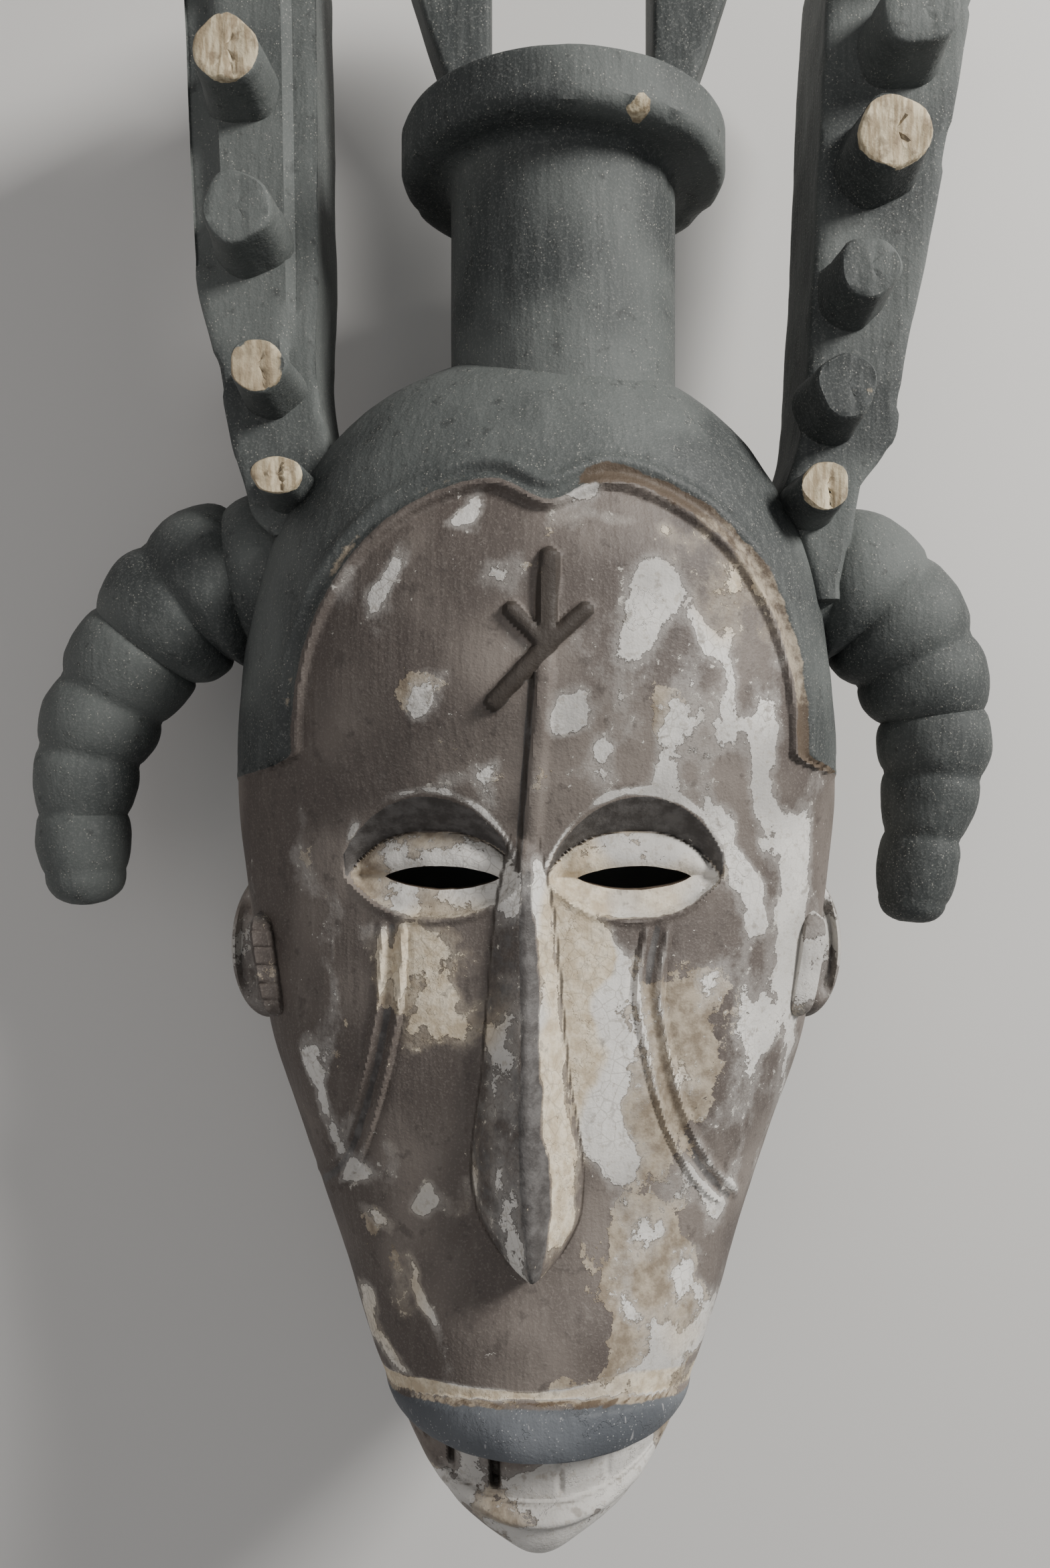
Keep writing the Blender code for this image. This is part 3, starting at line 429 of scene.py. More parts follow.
def nose_relief(x, y):
    t, off, inside = nose_share(x, y)
    ridge = NOSE_HEIGHT * through(NOSE_HEIGHT_SHARES, t)
    across = clipped(1 - np.abs(off))
    blunt = across ** 0.74
    top = 1 - 0.055 * (1 - clipped(np.abs(off) / 0.16)) ** 2
    foot = 0.35 + 0.65 * step(0, 0.14, across)
    return np.where(inside, ridge * blunt * top * foot * step(0.0, 0.045, t), 0.0)


def mouth_shape(x, y):
    """Share of the way to the lip's corner, height over its middle, and half its thickness."""
    along = clipped(np.abs(x) / LIP_HALF_LENGTH)
    middle = LIP_FROM_CHIN - LIP_CORNER_DROP * along ** 2
    half = LIP_HEIGHT / 2 * (1 - 0.96 * along ** 3)
    return along, y - middle, half


def teeth_row(x, off, half):
    """Share of the mouth's opening left at a place, depth below the upper lip, and the teeth's height."""
    fade = np.sqrt(clipped(1 - (np.abs(x) / (LIP_HALF_LENGTH * 0.80)) ** 2))
    return fade, -(off + half), TEETH_HEIGHT * fade


def teeth_gaps(x, below, high):
    """How far inside the row of teeth, and how deep in a gap between two of them."""
    inner = step(0.0, 0.0008, below) * (1 - step(-0.0030, -0.0012, below - high))
    between = 0.0
    for gap_x, wide, deep in TEETH_GAPS:
        between = between + deep * inner * plateau(x - gap_x, wide, 0.0007)
    return inner, between


def mouth_relief(x, y):
    along, off, half = mouth_shape(x, y)
    near = np.abs(x) < LIP_HALF_LENGTH * 1.06
    face_edge = step(-0.0010, 0.0010, half - off)
    mouth_edge = step(-0.0008, 0.0008, off + half)
    roll = 0.74 + 0.26 * (1 - clipped(np.abs(off) / np.maximum(half, 1e-5)) ** 2)
    lip = LIP_RAISE * (1 - 0.45 * along ** 2) * face_edge * mouth_edge * roll
    lip = lip * (1 - step(0.98, 1.06, np.abs(x) / LIP_HALF_LENGTH))
    fade, below, high = teeth_row(x, off, half)
    teeth = -TEETH_DEPTH * fade * step(0, 0.0010, below) * (1 - step(-0.0008, 0.0008, below - high))
    lower = LOWER_LIP_RAISE * fade * bump(below - high - LOWER_LIP_HEIGHT / 2, LOWER_LIP_HEIGHT)
    inner, between = teeth_gaps(x, below, high)
    slit = bump(x - 0.0120 - 0.25 * (below - high), 0.0022) * step(0.001, 0.003, below - high)
    return np.where(near, lip + teeth + lower - 0.0060 * between - 0.0016 * inner * slit, 0.0)


def mark_gap(x, y):
    """Distance outside the mark's arms and to its line, share of the way along that, and side of it."""
    gap = 1.0
    for dx, dy, width in MARK_ARMS:
        near, t = segment_distance(x, y, MARK_X, MARK_FROM_CHIN, MARK_X + dx, MARK_FROM_CHIN + dy)
        gap = np.minimum(gap, near - width / 2)
    end_x, end_y = MARK_LINE_END
    line, t = segment_distance(x, y, MARK_X, MARK_FROM_CHIN - 0.002, end_x, end_y)
    path = MARK_X + (end_x - MARK_X) * (MARK_FROM_CHIN - y) / (MARK_FROM_CHIN - end_y)
    return gap, line, t, x - path


def mark_relief(x, y):
    gap, line, t, off = mark_gap(x, y)
    arms = 0.0026 * step(0.0010, -0.0010, gap)
    spine = (0.0020 - 0.0002 * t) * plateau(line, 0.0046, 0.0011)
    around = 0.0008 * bump(gap - 0.0014, 0.0028)
    deep = 0.0010 + 0.0012 * step(0.75, 0.95, t)
    groove = deep * bump(off + 0.0034, 0.0028) * step(0.04, 0.10, t) * (line < 0.008)
    height = np.maximum(arms, spine)
    return height - np.maximum(around * (height < 0.0004), groove * (arms < 0.0004))


def scar_gap(x, y):
    """Signed distance from the middle of the nearest cheek scar, and how far down it."""
    start = EYE_FROM_CHIN - SCAR_FROM_EYE
    fall = (start - y) / SCAR_DROP
    gap = np.full_like(x, 1.0)
    for side, shares in ((-1, LEFT_SCAR_SHARES), (1, RIGHT_SCAR_SHARES)):
        path = HEAD_WIDTH / 2 * through(shares, fall)
        lower = HEAD_WIDTH / 2 * through(shares, fall + 0.01)
        slant = np.sqrt(1 + ((lower - path) / (0.01 * SCAR_DROP)) ** 2)
        gap = np.where(side * x > 0, (side * x - path) / slant, gap)
    return gap, fall


def scar_relief(x, y):
    gap, fall = scar_gap(x, y)
    ends = step(-0.05, 0.03, fall) * (1 - step(1.0, 1.03, fall))
    lines = bump(gap - 0.0032, 0.0031) + bump(gap + 0.0032, 0.0031)
    groove = bump(gap, 0.0042)
    outside = bump(np.abs(gap) - 0.0052, 0.0022)
    return ends * (0.0014 * lines - 0.0010 * groove - 0.0006 * outside)


def hair_relief(x, y):
    gap = hairline_gap(x, y)
    low = step(HAIRLINE_FROM_CHIN - HAIRLINE_END, HAIRLINE_FROM_CHIN - 0.5 * HAIRLINE_END, y)
    ridges = bump(gap, 0.0042) + 0.9 * bump(gap - 0.0076, 0.0046)
    groove = bump(gap - 0.0038, 0.0040)
    step_up = 0.0024 * step(-0.0015, 0.0015, gap)
    fall = 1 - 0.25 * step(0.03, 0.08, gap)
    return low * fall * (step_up + 0.0013 * ridges - 0.0011 * groove)


def carving(x, y):
    """Height of all the carving over the plain head."""
    height = np.maximum(nose_relief(x, y), mark_relief(x, y)) + eye_relief(x, y)
    return height + mouth_relief(x, y) + scar_relief(x, y) + hair_relief(x, y)


def surface_normals(x, y, z):
    points = np.stack((x, y, z), axis=-1)
    normal = np.cross(np.gradient(points, axis=1), np.gradient(points, axis=0))
    return normal / np.maximum(np.linalg.norm(normal, axis=-1, keepdims=True), 1e-12)


# Mesh helpers. A form is a pair of points (n, 3) and faces.

def grid_faces(rows, columns):
    """Faces of a sheet of points closed behind and at both ends."""
    faces = []
    for j in range(rows - 1):
        a = j * columns
        faces.extend((a + i, a + i + 1, a + columns + i + 1, a + columns + i) for i in range(columns - 1))
        faces.append((a, a + columns, a + 2 * columns - 1, a + columns - 1))
    last = (rows - 1) * columns
    for i in range(columns // 2):
        left = i
        right = columns - 1 - i
        if right - left > 2:
            faces.append((left, right, right - 1, left + 1))
            faces.append((last + left, last + left + 1, last + right - 1, last + right))
        elif right - left == 2:
            faces.append((left, right, left + 1))
            faces.append((last + left, last + left + 1, last + right))
    return faces


def tube_faces(rings, sides):
    """Faces of rings of points joined in a row and closed at both ends."""
    faces = []
    for j in range(rings - 1):
        for k in range(sides):
            n = (k + 1) % sides
            faces.append((j * sides + k, j * sides + n, (j + 1) * sides + n, (j + 1) * sides + k))
    faces.append(tuple(reversed(range(sides))))
    faces.append(tuple(range((rings - 1) * sides, rings * sides)))
    return faces


def turned(sides):
    return 2 * math.pi * np.arange(sides) / sides


def bar_ring(start, end, width, back, front, edge, counts):
    """Ring round an eased bar, as pairs across and up: front, far side, back and near side."""
    soft = 0.3 * edge
    height = front - back - 2 * edge
    along_front, along_side, along_back = counts
    ring = [(start + edge + (width - 2 * edge) * k / along_front, front) for k in range(along_front + 1)]
    ring.append((end - soft, front - soft))
    ring += [(end, front - edge - height * k / along_side) for k in range(along_side + 1)]
    ring.append((end - soft, back + soft))
    ring += [(end - edge - (width - 2 * edge) * k / along_back, back) for k in range(along_back + 1)]
    ring.append((start + soft, back + soft))
    ring += [(start, back + edge + height * k / along_side) for k in range(along_side + 1)]
    ring.append((start + soft, front - soft))
    return ring


def new_object(name, forms):
    points = []
    faces = []
    start = 0
    for form_points, form_faces in forms:
        points.append(np.asarray(form_points, dtype=float))
        faces.extend(tuple(start + c for c in face) for face in form_faces)
        start += len(form_points)
    points = np.concatenate(points) + FRAME_SHIFT
    mesh = bpy.data.meshes.new(name)
    mesh.from_pydata([tuple(p) for p in points], [], faces)
    mesh.update()
    obj = bpy.data.objects.new(name, mesh)
    bpy.context.scene.collection.objects.link(obj)
    return obj


def head_form():
    """Outside of the head with its carving and tool marks, flat behind."""
    x, y, z = head_points(even_rows(HEAD_ROWS), even_columns(HEAD_COLUMNS), 0.0, HEAD_LENGTH, 0.0, 0.0)
    normal = surface_normals(x, y, z)
    facing = step(0.03, 0.50, normal[..., 2])
    flat = np.stack((x, y, z), axis=-1)
    hair = (hairline_gap(x, y) > 0) & (y > HAIRLINE_FROM_CHIN)
    tool = rough(flat * (1.0, 0.45, 1.0), 0.011, 3, 3)
    broad = rough(flat, 0.05, 11, 2)
    dent = 0.0016 * broad + np.where(hair, 0.0011, 0.0006) * tool
    keep = step(0.0, 0.012, z)
    shift = normal * (dent * keep)[..., None]
    z = z + carving(x, y) * facing
    points = np.stack((x, y, z), axis=-1) + shift
    points[:, 0, 2] = 0.0
    points[:, -1, 2] = 0.0
    return points.reshape(-1, 3), grid_faces(*x.shape)


def cavity_form():
    """Hollow behind the face, cut through the back rim."""
    rows = 50
    columns = 44
    below_rim = -0.01
    x, y, z = head_points(round_ends(rows), np.linspace(-1, 1, columns), CHIN_WALL,
                          HEAD_LENGTH - CROWN_WALL, SIDE_WALL, FRONT_WALL)
    flat = np.stack((x, y, z), axis=-1)
    normal = surface_normals(x, y, z)
    flat = flat + normal * (0.0030 * rough(flat * (1.0, 0.5, 1.0), 0.016, 23, 2) - 0.0004)[..., None]
    flat[:, 0, 2] = below_rim
    flat[:, -1, 2] = below_rim
    return flat.reshape(-1, 3), grid_faces(rows, columns)


def slot_form(side):
    """Cutter for one eye slot, pointed at both ends."""
    steps = 22
    there = np.linspace(-1, 1, steps, endpoint=False)
    t = np.concatenate((there, np.linspace(1, -1, steps, endpoint=False)))
    sign = np.concatenate((-np.ones(steps), np.ones(steps)))
    x = side * EYE_SPACING / 2 + SLOT_LENGTH / 2 * t
    y = EYE_FROM_CHIN + sign * SLOT_HEIGHT / 2 * (1 - t * t) ** 0.8
    ragged = 0.0003 * (noise(on_plane(x, y), 0.0022, 31) - 0.5)
    y = y + ragged * np.sqrt(clipped(1 - t * t))
    low = np.stack((x, y, np.full_like(x, HEAD_DEPTH * 0.5)), axis=1)
    high = np.stack((x, y, np.full_like(x, HEAD_DEPTH * 1.2)), axis=1)
    return np.concatenate((low, high)), tube_faces(2, len(x))


def lathe_form():
    """Topknot column and collar, carved by hand and eye, so neither quite round nor smooth."""
    top = COLLAR_FROM_CHIN + COLLAR_THICKNESS
    low = COLLAR_FROM_CHIN
    r = COLUMN_RADIUS
    c = COLLAR_RADIUS
    shaft = COLUMN_FROM_CHIN + 0.006
    wall = low + 0.0036
    profile = [(0.001, COLUMN_FROM_CHIN), (r * 0.98, COLUMN_FROM_CHIN + 0.0005)]
    profile += [(r, shaft + (low - 0.003 - COLUMN_FROM_CHIN - 0.006) * k / 22) for k in range(23)]
    profile += [(r + 0.0006, low - 0.0015), (r + 0.0022, low - 0.0002), (r + 0.007, low + 0.0001),
                (c - 0.008, low - 0.0001), (c - 0.0035, low + 0.0001), (c - 0.0012, low + 0.0012),
                (c, wall)]
    profile += [(c, wall + (top - 0.0018 - low - 0.0036) * k / 6) for k in range(1, 7)]
    profile += [(c - 0.0006, top - 0.0006), (c - 0.0022, top), (c - 0.010, top), (c * 0.5, top),
                (0.001, top)]
    sides = 88
    points = []
    for radius, height in profile:
        for k in range(sides):
            angle = 2 * math.pi * k / sides
            points.append((radius * math.cos(angle), height, radius * math.sin(angle)))
    points = np.array(points)
    out = points * (1, 0, 1)
    out = out / np.maximum(np.linalg.norm(out, axis=1, keepdims=True), 1e-9)
    angle = np.arctan2(points[:, 2], points[:, 0])
    facets = 15
    turn = (angle * facets / (2 * math.pi) + 0.1 * np.sin(points[:, 1] * 30)) % 1.0
    flat = np.cos((turn - 0.5) * 2 * math.pi / facets)
    radius = np.linalg.norm(points[:, (0, 2)], axis=1)
    on_column = (points[:, 1] < low - 0.001) & (radius > 0.02)
    dent = np.where(on_column, (flat - 1) * 0.028 + 0.0004, 0.0)
    dent = dent + 0.0011 * rough(points, 0.014, 41, 3) * step(0.02, 0.03, radius)
    rim = bump(points[:, 1] - low, 0.007) * step(c - 0.006, c - 0.002, radius)
    dent = dent - 0.0032 * rim * step(0.60, 0.80, noise(points, 0.006, 44))
    dent = np.minimum(dent, 0.0001)
    lift = np.array((0, 1, 0)) * (0.0008 * rough(points, 0.02, 47, 2))[:, None]
    points = points + out * dent[:, None] + lift
    points = points + np.array((CREST_SHIFT, 0, CREST_Z))
    return points, tube_faces(len(profile), sides)


def band_middle(side, y):
    """Middle and width of a band at a height."""
    stations = LEFT_BAND if side < 0 else RIGHT_BAND
    middle = through([(at, x) for at, x, width in stations], y)
    width = through([(at, width) for at, x, width in stations], y)
    return CREST_SHIFT + middle, width


def band_form(side):
    """Upright band: an eased bar, narrow and pointed or rounded at the foot, round at the top."""
    foot = LEFT_BAND_FOOT_FROM_CHIN if side < 0 else RIGHT_BAND_FOOT_FROM_CHIN
    start = (LEFT_BAND if side < 0 else RIGHT_BAND)[0][0]
    top_width = float(band_middle(side, BAND_TOP_FROM_CHIN)[1])
    shoulder = BAND_TOP_FROM_CHIN - top_width / 2
    rows = 108
    end_rows = 15
    quarter = np.linspace(0, 1, end_rows + 1) * math.pi / 2
    ys = np.concatenate((
        foot + 0.0004 + (start - foot) * (1 - np.cos(quarter[:-1])),
        np.linspace(start, shoulder, rows - 2 * end_rows),
        shoulder + (BAND_TOP_FROM_CHIN - 0.0004 - shoulder) * np.sin(quarter[1:]),
    ))
    middle, width = band_middle(side, ys)
    first_middle = float(band_middle(side, start)[0])
    middle = np.where(ys < start, first_middle, middle)
    t = clipped((ys - foot) / (start - foot))
    if side < 0:
        narrow = 0.36 + 0.64 * np.sin(t * math.pi / 2) ** 0.8
    else:
        narrow = 0.30 + 0.70 * t ** 0.9
        middle = middle + 0.0015 * (1 - t)
    rounding = np.sqrt(np.clip(1 - ((ys - shoulder) / (top_width / 2)) ** 2, 0.0004, 1))
    width = width * np.where(ys < start, narrow, 1.0) * np.where(ys > shoulder, rounding, 1.0)
    edge = 0.0020
    points = []
    for y, m, w in zip(ys, middle, width):
        h = w / 2
        ring = bar_ring(m - h, m + h, w, BAND_BACK_Z, BAND_FRONT_Z, min(edge, h * 0.4), (13, 9, 4))
        points.extend((px, y, pz) for px, pz in ring)
    sides = len(points) // len(ys)
    points = np.array(points)
    local = points[:, 0] - np.repeat(middle, sides)
    half = np.repeat(width, sides) / 2
    face = step(BAND_FRONT_Z - 0.004, BAND_FRONT_Z - 0.0002, points[:, 2])
    if side < 0:
        inner_step = 1 - step(0.0085, 0.0100, half - local)
        outer_step = 1 - step(0.6, 1.0, (half + local) / 0.010)
        drop = 0.0030 * inner_step * step(0.342, 0.362, points[:, 1])
        drop = drop + 0.0050 * outer_step * step(0.386, 0.398, points[:, 1])
    else:
        drop = 0.0006 * (1 - step(0.0, 0.004, half + local))
    drop = drop + 0.0012 * (0.5 + rough(points, 0.016, 51 + side, 3))
    points[:, 2] -= face * drop
    dent = 0.0016 * (rough(points * (1, 0.6, 1), 0.012, 57 + side, 3) - 0.25)
    points[:, 0] += np.sign(local) * np.clip(dent, -0.002, 0.0) * (1 - face)
    nick = step(0.70, 0.88, noise(points, 0.008, 61 + side)) * bump(points[:, 2] - BAND_FRONT_Z, 0.010)
    points[:, 0] -= np.sign(local) * 0.0016 * nick * (np.abs(local) > half - 0.004)
    return points, tube_faces(len(ys), sides)


# Height from the chin, X, radius, height over width, and how far the end shows bare wood.
KNOBS = (
    (0.3197, -0.0793, 0.0088, 0.74, 1.0),
    (0.3528, -0.0851, 0.0096, 0.96, 0.55),
    (0.4010, -0.0916, 0.0118, 1.04, 0.0),
    (0.4491, -0.0949, 0.0114, 1.00, 1.0),
    (0.4960, -0.0975, 0.0120, 1.00, 0.0),
    (0.3163, 0.0871, 0.0083, 1.02, 0.95),
    (0.3467, 0.0936, 0.0102, 1.12, 0.22),
    (0.3826, 0.1005, 0.0105, 1.00, 0.12),
    (0.4240, 0.1082, 0.0126, 1.00, 1.0),
    (0.4617, 0.1160, 0.0132, 1.00, 0.1),
    (0.5000, 0.1195, 0.0128, 1.00, 0.3),
)


def knob_form(number):
    """One knob on a band, not quite round, with a split across its end."""
    y, x, radius, oval, raw = KNOBS[number]
    sides = 30
    seed = 70 + number
    z0 = BAND_FRONT_Z - 0.004
    z1 = BAND_FRONT_Z + KNOB_LENGTH
    shaft = BAND_FRONT_Z + 0.004
    rings = [(1.09, z0), (1.05, BAND_FRONT_Z + 0.001), (1.0, shaft)]
    rings += [(1.0 - 0.02 * k, shaft + (z1 - BAND_FRONT_Z - 0.0055) * k / 5) for k in range(1, 6)]
    rings += [(0.87, z1 - 0.0006), (0.82, z1), (0.62, z1), (0.44, z1), (0.27, z1), (0.10, z1)]
    angle = turned(sides)
    wobble = 1 + 0.05 * np.sin(3 * angle + number) + 0.03 * np.sin(5 * angle + 2.1 * number)
    facets = 8 + number % 3
    turn = (angle * facets / (2 * math.pi)) % 1
    wobble = wobble * (0.95 + 0.05 / np.cos((turn - 0.5) * 2 * math.pi / facets))
    points = []
    for scale, z in rings:
        across = x + radius * scale * wobble * np.cos(angle)
        upward = y + oval * radius * scale * wobble * np.sin(angle)
        points.append(np.stack((across, upward, np.full(sides, z)), axis=1))
    points = np.concatenate(points)
    end = step(z1 - 0.0012, z1 - 0.0002, points[:, 2])
    grain = noise(points * (1.0, 0.18, 1.0), 0.0016, seed) - 0.5
    split = bump(points[:, 0] - x - 0.15 * radius + 0.1 * (points[:, 1] - y), 0.0012)
    split = split * step(0.0, 0.003, 0.7 * radius - np.abs(points[:, 1] - y + 0.2 * radius))
    amount = 0.4 + 0.6 * raw
    uneven = 0.0012 * (rough(points, 0.008, seed, 2) + 0.3)
    points[:, 2] += end * (0.0010 * grain * amount - 0.0016 * split * amount - uneven)
    side_dent = (1 - end) * rough(points, 0.006, seed + 9, 2) * 0.0008
    points[:, 0] += side_dent
    return points, tube_faces(len(rings), sides)


def braid_form(side):
    """Side braid: a curved taper in ringed bulges, with a rounded tip."""
    rings = 92
    tip_rings = 7
    sides = 34
    t = np.linspace(0, 1, rings)
    table = curve(LEFT_BRAID if side < 0 else RIGHT_BRAID, t)
    path = np.stack((table[:, 0], table[:, 1], np.full(rings, BRAID_Z)), axis=1)
    run = np.gradient(path, axis=0)
    run = run / np.linalg.norm(run, axis=1, keepdims=True)
    phase = (t * BRAID_RINGS + 0.04 * np.sin(9 * t + side)) % 1.0
    bulge = np.sin(math.pi * phase) ** 0.55
    radius = table[:, 2] * (0.868 + 0.157 * bulge)
    across = np.stack((-run[:, 1], run[:, 0], np.zeros(rings)), axis=1)
    up = np.array((0.0, 0.0, 1.0))
    angle = turned(sides)[:, None]
    points = []
    for j in range(rings):
        points.append(path[j] + radius[j] * (np.cos(angle) * across[j] + np.sin(angle) * up))
    for k in range(1, tip_rings + 1):
        turn = math.pi / 2 * k / (tip_rings + 1)
        middle = path[-1] + run[-1] * radius[-1] * 0.74 * math.sin(turn)
        size = radius[-1] * math.cos(turn) ** 0.8
        points.append(middle + size * (np.cos(angle) * across[-1] + np.sin(angle) * up))
    points = np.concatenate(points)
    centre = np.concatenate((path, np.repeat(path[-1:], tip_rings, axis=0)))
    centre = np.repeat(centre, sides, axis=0)
    out = points - centre
    out = out / np.maximum(np.linalg.norm(out, axis=1, keepdims=True), 1e-9)
    dent = 0.0016 * rough(points, 0.011, 91 + side, 3) - 0.0006
    points = points + out * np.minimum(dent, 0.0001)[:, None]
    return points, tube_faces(rings + tip_rings, sides)


def loop_form():
    """Loop over the collar, swept from foot to foot as one bar of changing width."""
    base = COLLAR_FROM_CHIN + COLLAR_THICKNESS
    x0 = CREST_SHIFT + LOOP_SHIFT
    steps = 96
    post = 0.55
    arch_from = 0.72
    into_collar = -0.004
    shares = ((0.0, LOOP_FOOT_HALF_WIDTH / LOOP_HALF_WIDTH), (0.36, 0.90), (0.55, 1.0),
              (arch_from, 0.96))
    outer = []
    inner = []
    spring = LOOP_HEIGHT - LOOP_TOP_THICKNESS - LOOP_OPENING_HALF_WIDTH
    last_x = LOOP_HALF_WIDTH * 0.96
    last_y = LOOP_HEIGHT * arch_from
    for value in np.linspace(-1, 1, steps):
        side = 1 if value >= 0 else -1
        a = 1 - abs(value)
        if a < post:
            h = arch_from * LOOP_HEIGHT * a / post
            outer.append((side * LOOP_HALF_WIDTH * float(through(shares, h / LOOP_HEIGHT)), h))
            inner.append((side * LOOP_OPENING_HALF_WIDTH, spring * a / post))
        else:
            turn = math.pi / 2 * (a - post) / 0.45
            c = math.cos(turn)
            s = math.sin(turn)
            outer.append((side * last_x * c, last_y + (LOOP_HEIGHT - last_y) * s))
            inner.append((side * LOOP_OPENING_HALF_WIDTH * c, spring + LOOP_OPENING_HALF_WIDTH * s))
    outer = np.array(outer)
    inner = np.array(inner)
    outer[[0, -1], 1] = into_collar
    inner[[0, -1], 1] = into_collar
    back = CREST_Z - LOOP_DEPTH / 2
    front = CREST_Z + LOOP_DEPTH / 2
    points = []
    for far, near in zip(outer, inner):
        length = np.linalg.norm(far - near)
        outward = (far - near) / length
        ring = bar_ring(0.0, length, length, back, front, 0.0016, (5, 4, 5))
        points.extend((*(near + outward * out), z) for out, z in ring)
    sides = len(points) // steps
    points = np.array(points) + np.array((x0, base, 0.0))
    face = step(front - 0.004, front, points[:, 2])
    points[:, 2] -= face * 0.0012 * (0.5 + rough(points, 0.014, 101, 3))
    return points, tube_faces(steps, sides)


def ear_form(side):
    """Ear: an oval shell standing off the side of the head, hollowed in front."""
    half = HEAD_WIDTH / 2 * float(half_width(EAR_FROM_CHIN / HEAD_LENGTH))
    rows = 34
    sides = 40
    points = []
    for j in range(rows + 1):
        turn = math.pi * j / rows
        for k in range(sides):
            angle = 2 * math.pi * k / sides
            points.append((math.sin(turn) * math.cos(angle), -math.cos(turn),
                           math.sin(turn) * math.sin(angle)))
    unit = np.array(points)
    outward = side * unit[:, 0]
    scale = np.array((EAR_STAND_OUT, EAR_HEIGHT / 2, EAR_DEPTH / 2))
    points = unit * scale + np.array((side * half, EAR_FROM_CHIN, EAR_Z))
    shell = np.sqrt((unit[:, 1] / 0.74) ** 2 + ((outward - 0.42) / 0.42) ** 2)
    hollow = (1 - step(0.65, 1.05, shell)) * step(0.15, 0.5, unit[:, 2])
    points[:, 2] -= 0.0075 * hollow
    return points, tube_faces(rows + 1, sides)


def pad_form(side):
    """Raised pad in front of the ear, cut with short lines."""
    rows = 60
    sides = 20
    y = EAR_FROM_CHIN - 0.001 + np.linspace(-0.5, 0.5, rows) * PAD_HEIGHT
    surface_half = HEAD_WIDTH / 2 * half_width(clipped(y / HEAD_LENGTH))
    c = np.cos(turned(sides))
    s = np.sin(turned(sides))
    c = np.sign(c) * np.abs(c) ** 0.5
    s = np.sign(s) * np.abs(s) ** 0.5
    points = []
    for j in range(rows):
        t = (y[j] - EAR_FROM_CHIN + 0.001) / (PAD_HEIGHT / 2)
        taper = max(0.05, (1 - abs(t) ** 6)) ** 0.5
        middle = side * (surface_half[j] - PAD_INSET)
        points.append(np.stack((middle + side * c * PAD_WIDTH / 2 * taper, np.full(sides, y[j]),
                                PAD_Z + s * (PAD_DEPTH / 2) * taper), axis=1))
    points = np.concatenate(points)
    top = step(0.2, 0.8, (points[:, 2] - PAD_Z) / (PAD_DEPTH / 2))
    off = points[:, 0] - side * (np.interp(points[:, 1], y, surface_half) - PAD_INSET)
    if side < 0:
        rise = points[:, 1] - EAR_FROM_CHIN + 0.001
        lines = bump((rise + 0.002) % 0.0056 - 0.0028, 0.0016)
        points[:, 2] -= top * 0.0010 * np.maximum(lines, bump(off, 0.0013))
    else:
        for line in (-0.0022, 0.0, 0.0022):
            points[:, 2] -= top * 0.0008 * bump(off - line, 0.0011)
    return points, tube_faces(rows, sides)


def remove(obj):
    mesh = obj.data
    bpy.data.objects.remove(obj, do_unlink=True)
    bpy.data.meshes.remove(mesh)


def cut_away(obj, cutters):
    """Take the cutters out of the object and leave it as a plain mesh."""
    for cutter in cutters:
        cut = obj.modifiers.new("cut", "BOOLEAN")
        cut.operation = "DIFFERENCE"
        cut.solver = "EXACT"
        cut.material_mode = "TRANSFER"
        cut.object = cutter
    bpy.context.view_layer.update()
    graph = bpy.context.evaluated_depsgraph_get()
    mesh = bpy.data.meshes.new_from_object(obj.evaluated_get(graph))
    obj.modifiers.clear()
    old = obj.data
    obj.data = mesh
    bpy.data.meshes.remove(old)
    for cutter in cutters:
        remove(cutter)


# Paint fields, one value for each point of the mesh.

def blobs(x, y, spots):
    """Sum of soft ovals with ragged edges. Lengths here are in millimetres."""
    total = np.zeros_like(x)
    flat = on_plane(x, y)
    x = x + 15.0 * rough(flat, 16.0, 131, 3)
    y = y + 15.0 * rough(flat, 16.0, 137, 3)
    for cx, cy, rx, ry, turn, strength in spots:
        c = math.cos(math.radians(turn))
        s = math.sin(math.radians(turn))
        dx = x - cx
        dy = y - cy
        u = (dx * c + dy * s) / rx
        v = (-dx * s + dy * c) / ry
        total = total + strength * np.exp(-(u * u + v * v) ** 1.3)
    return total


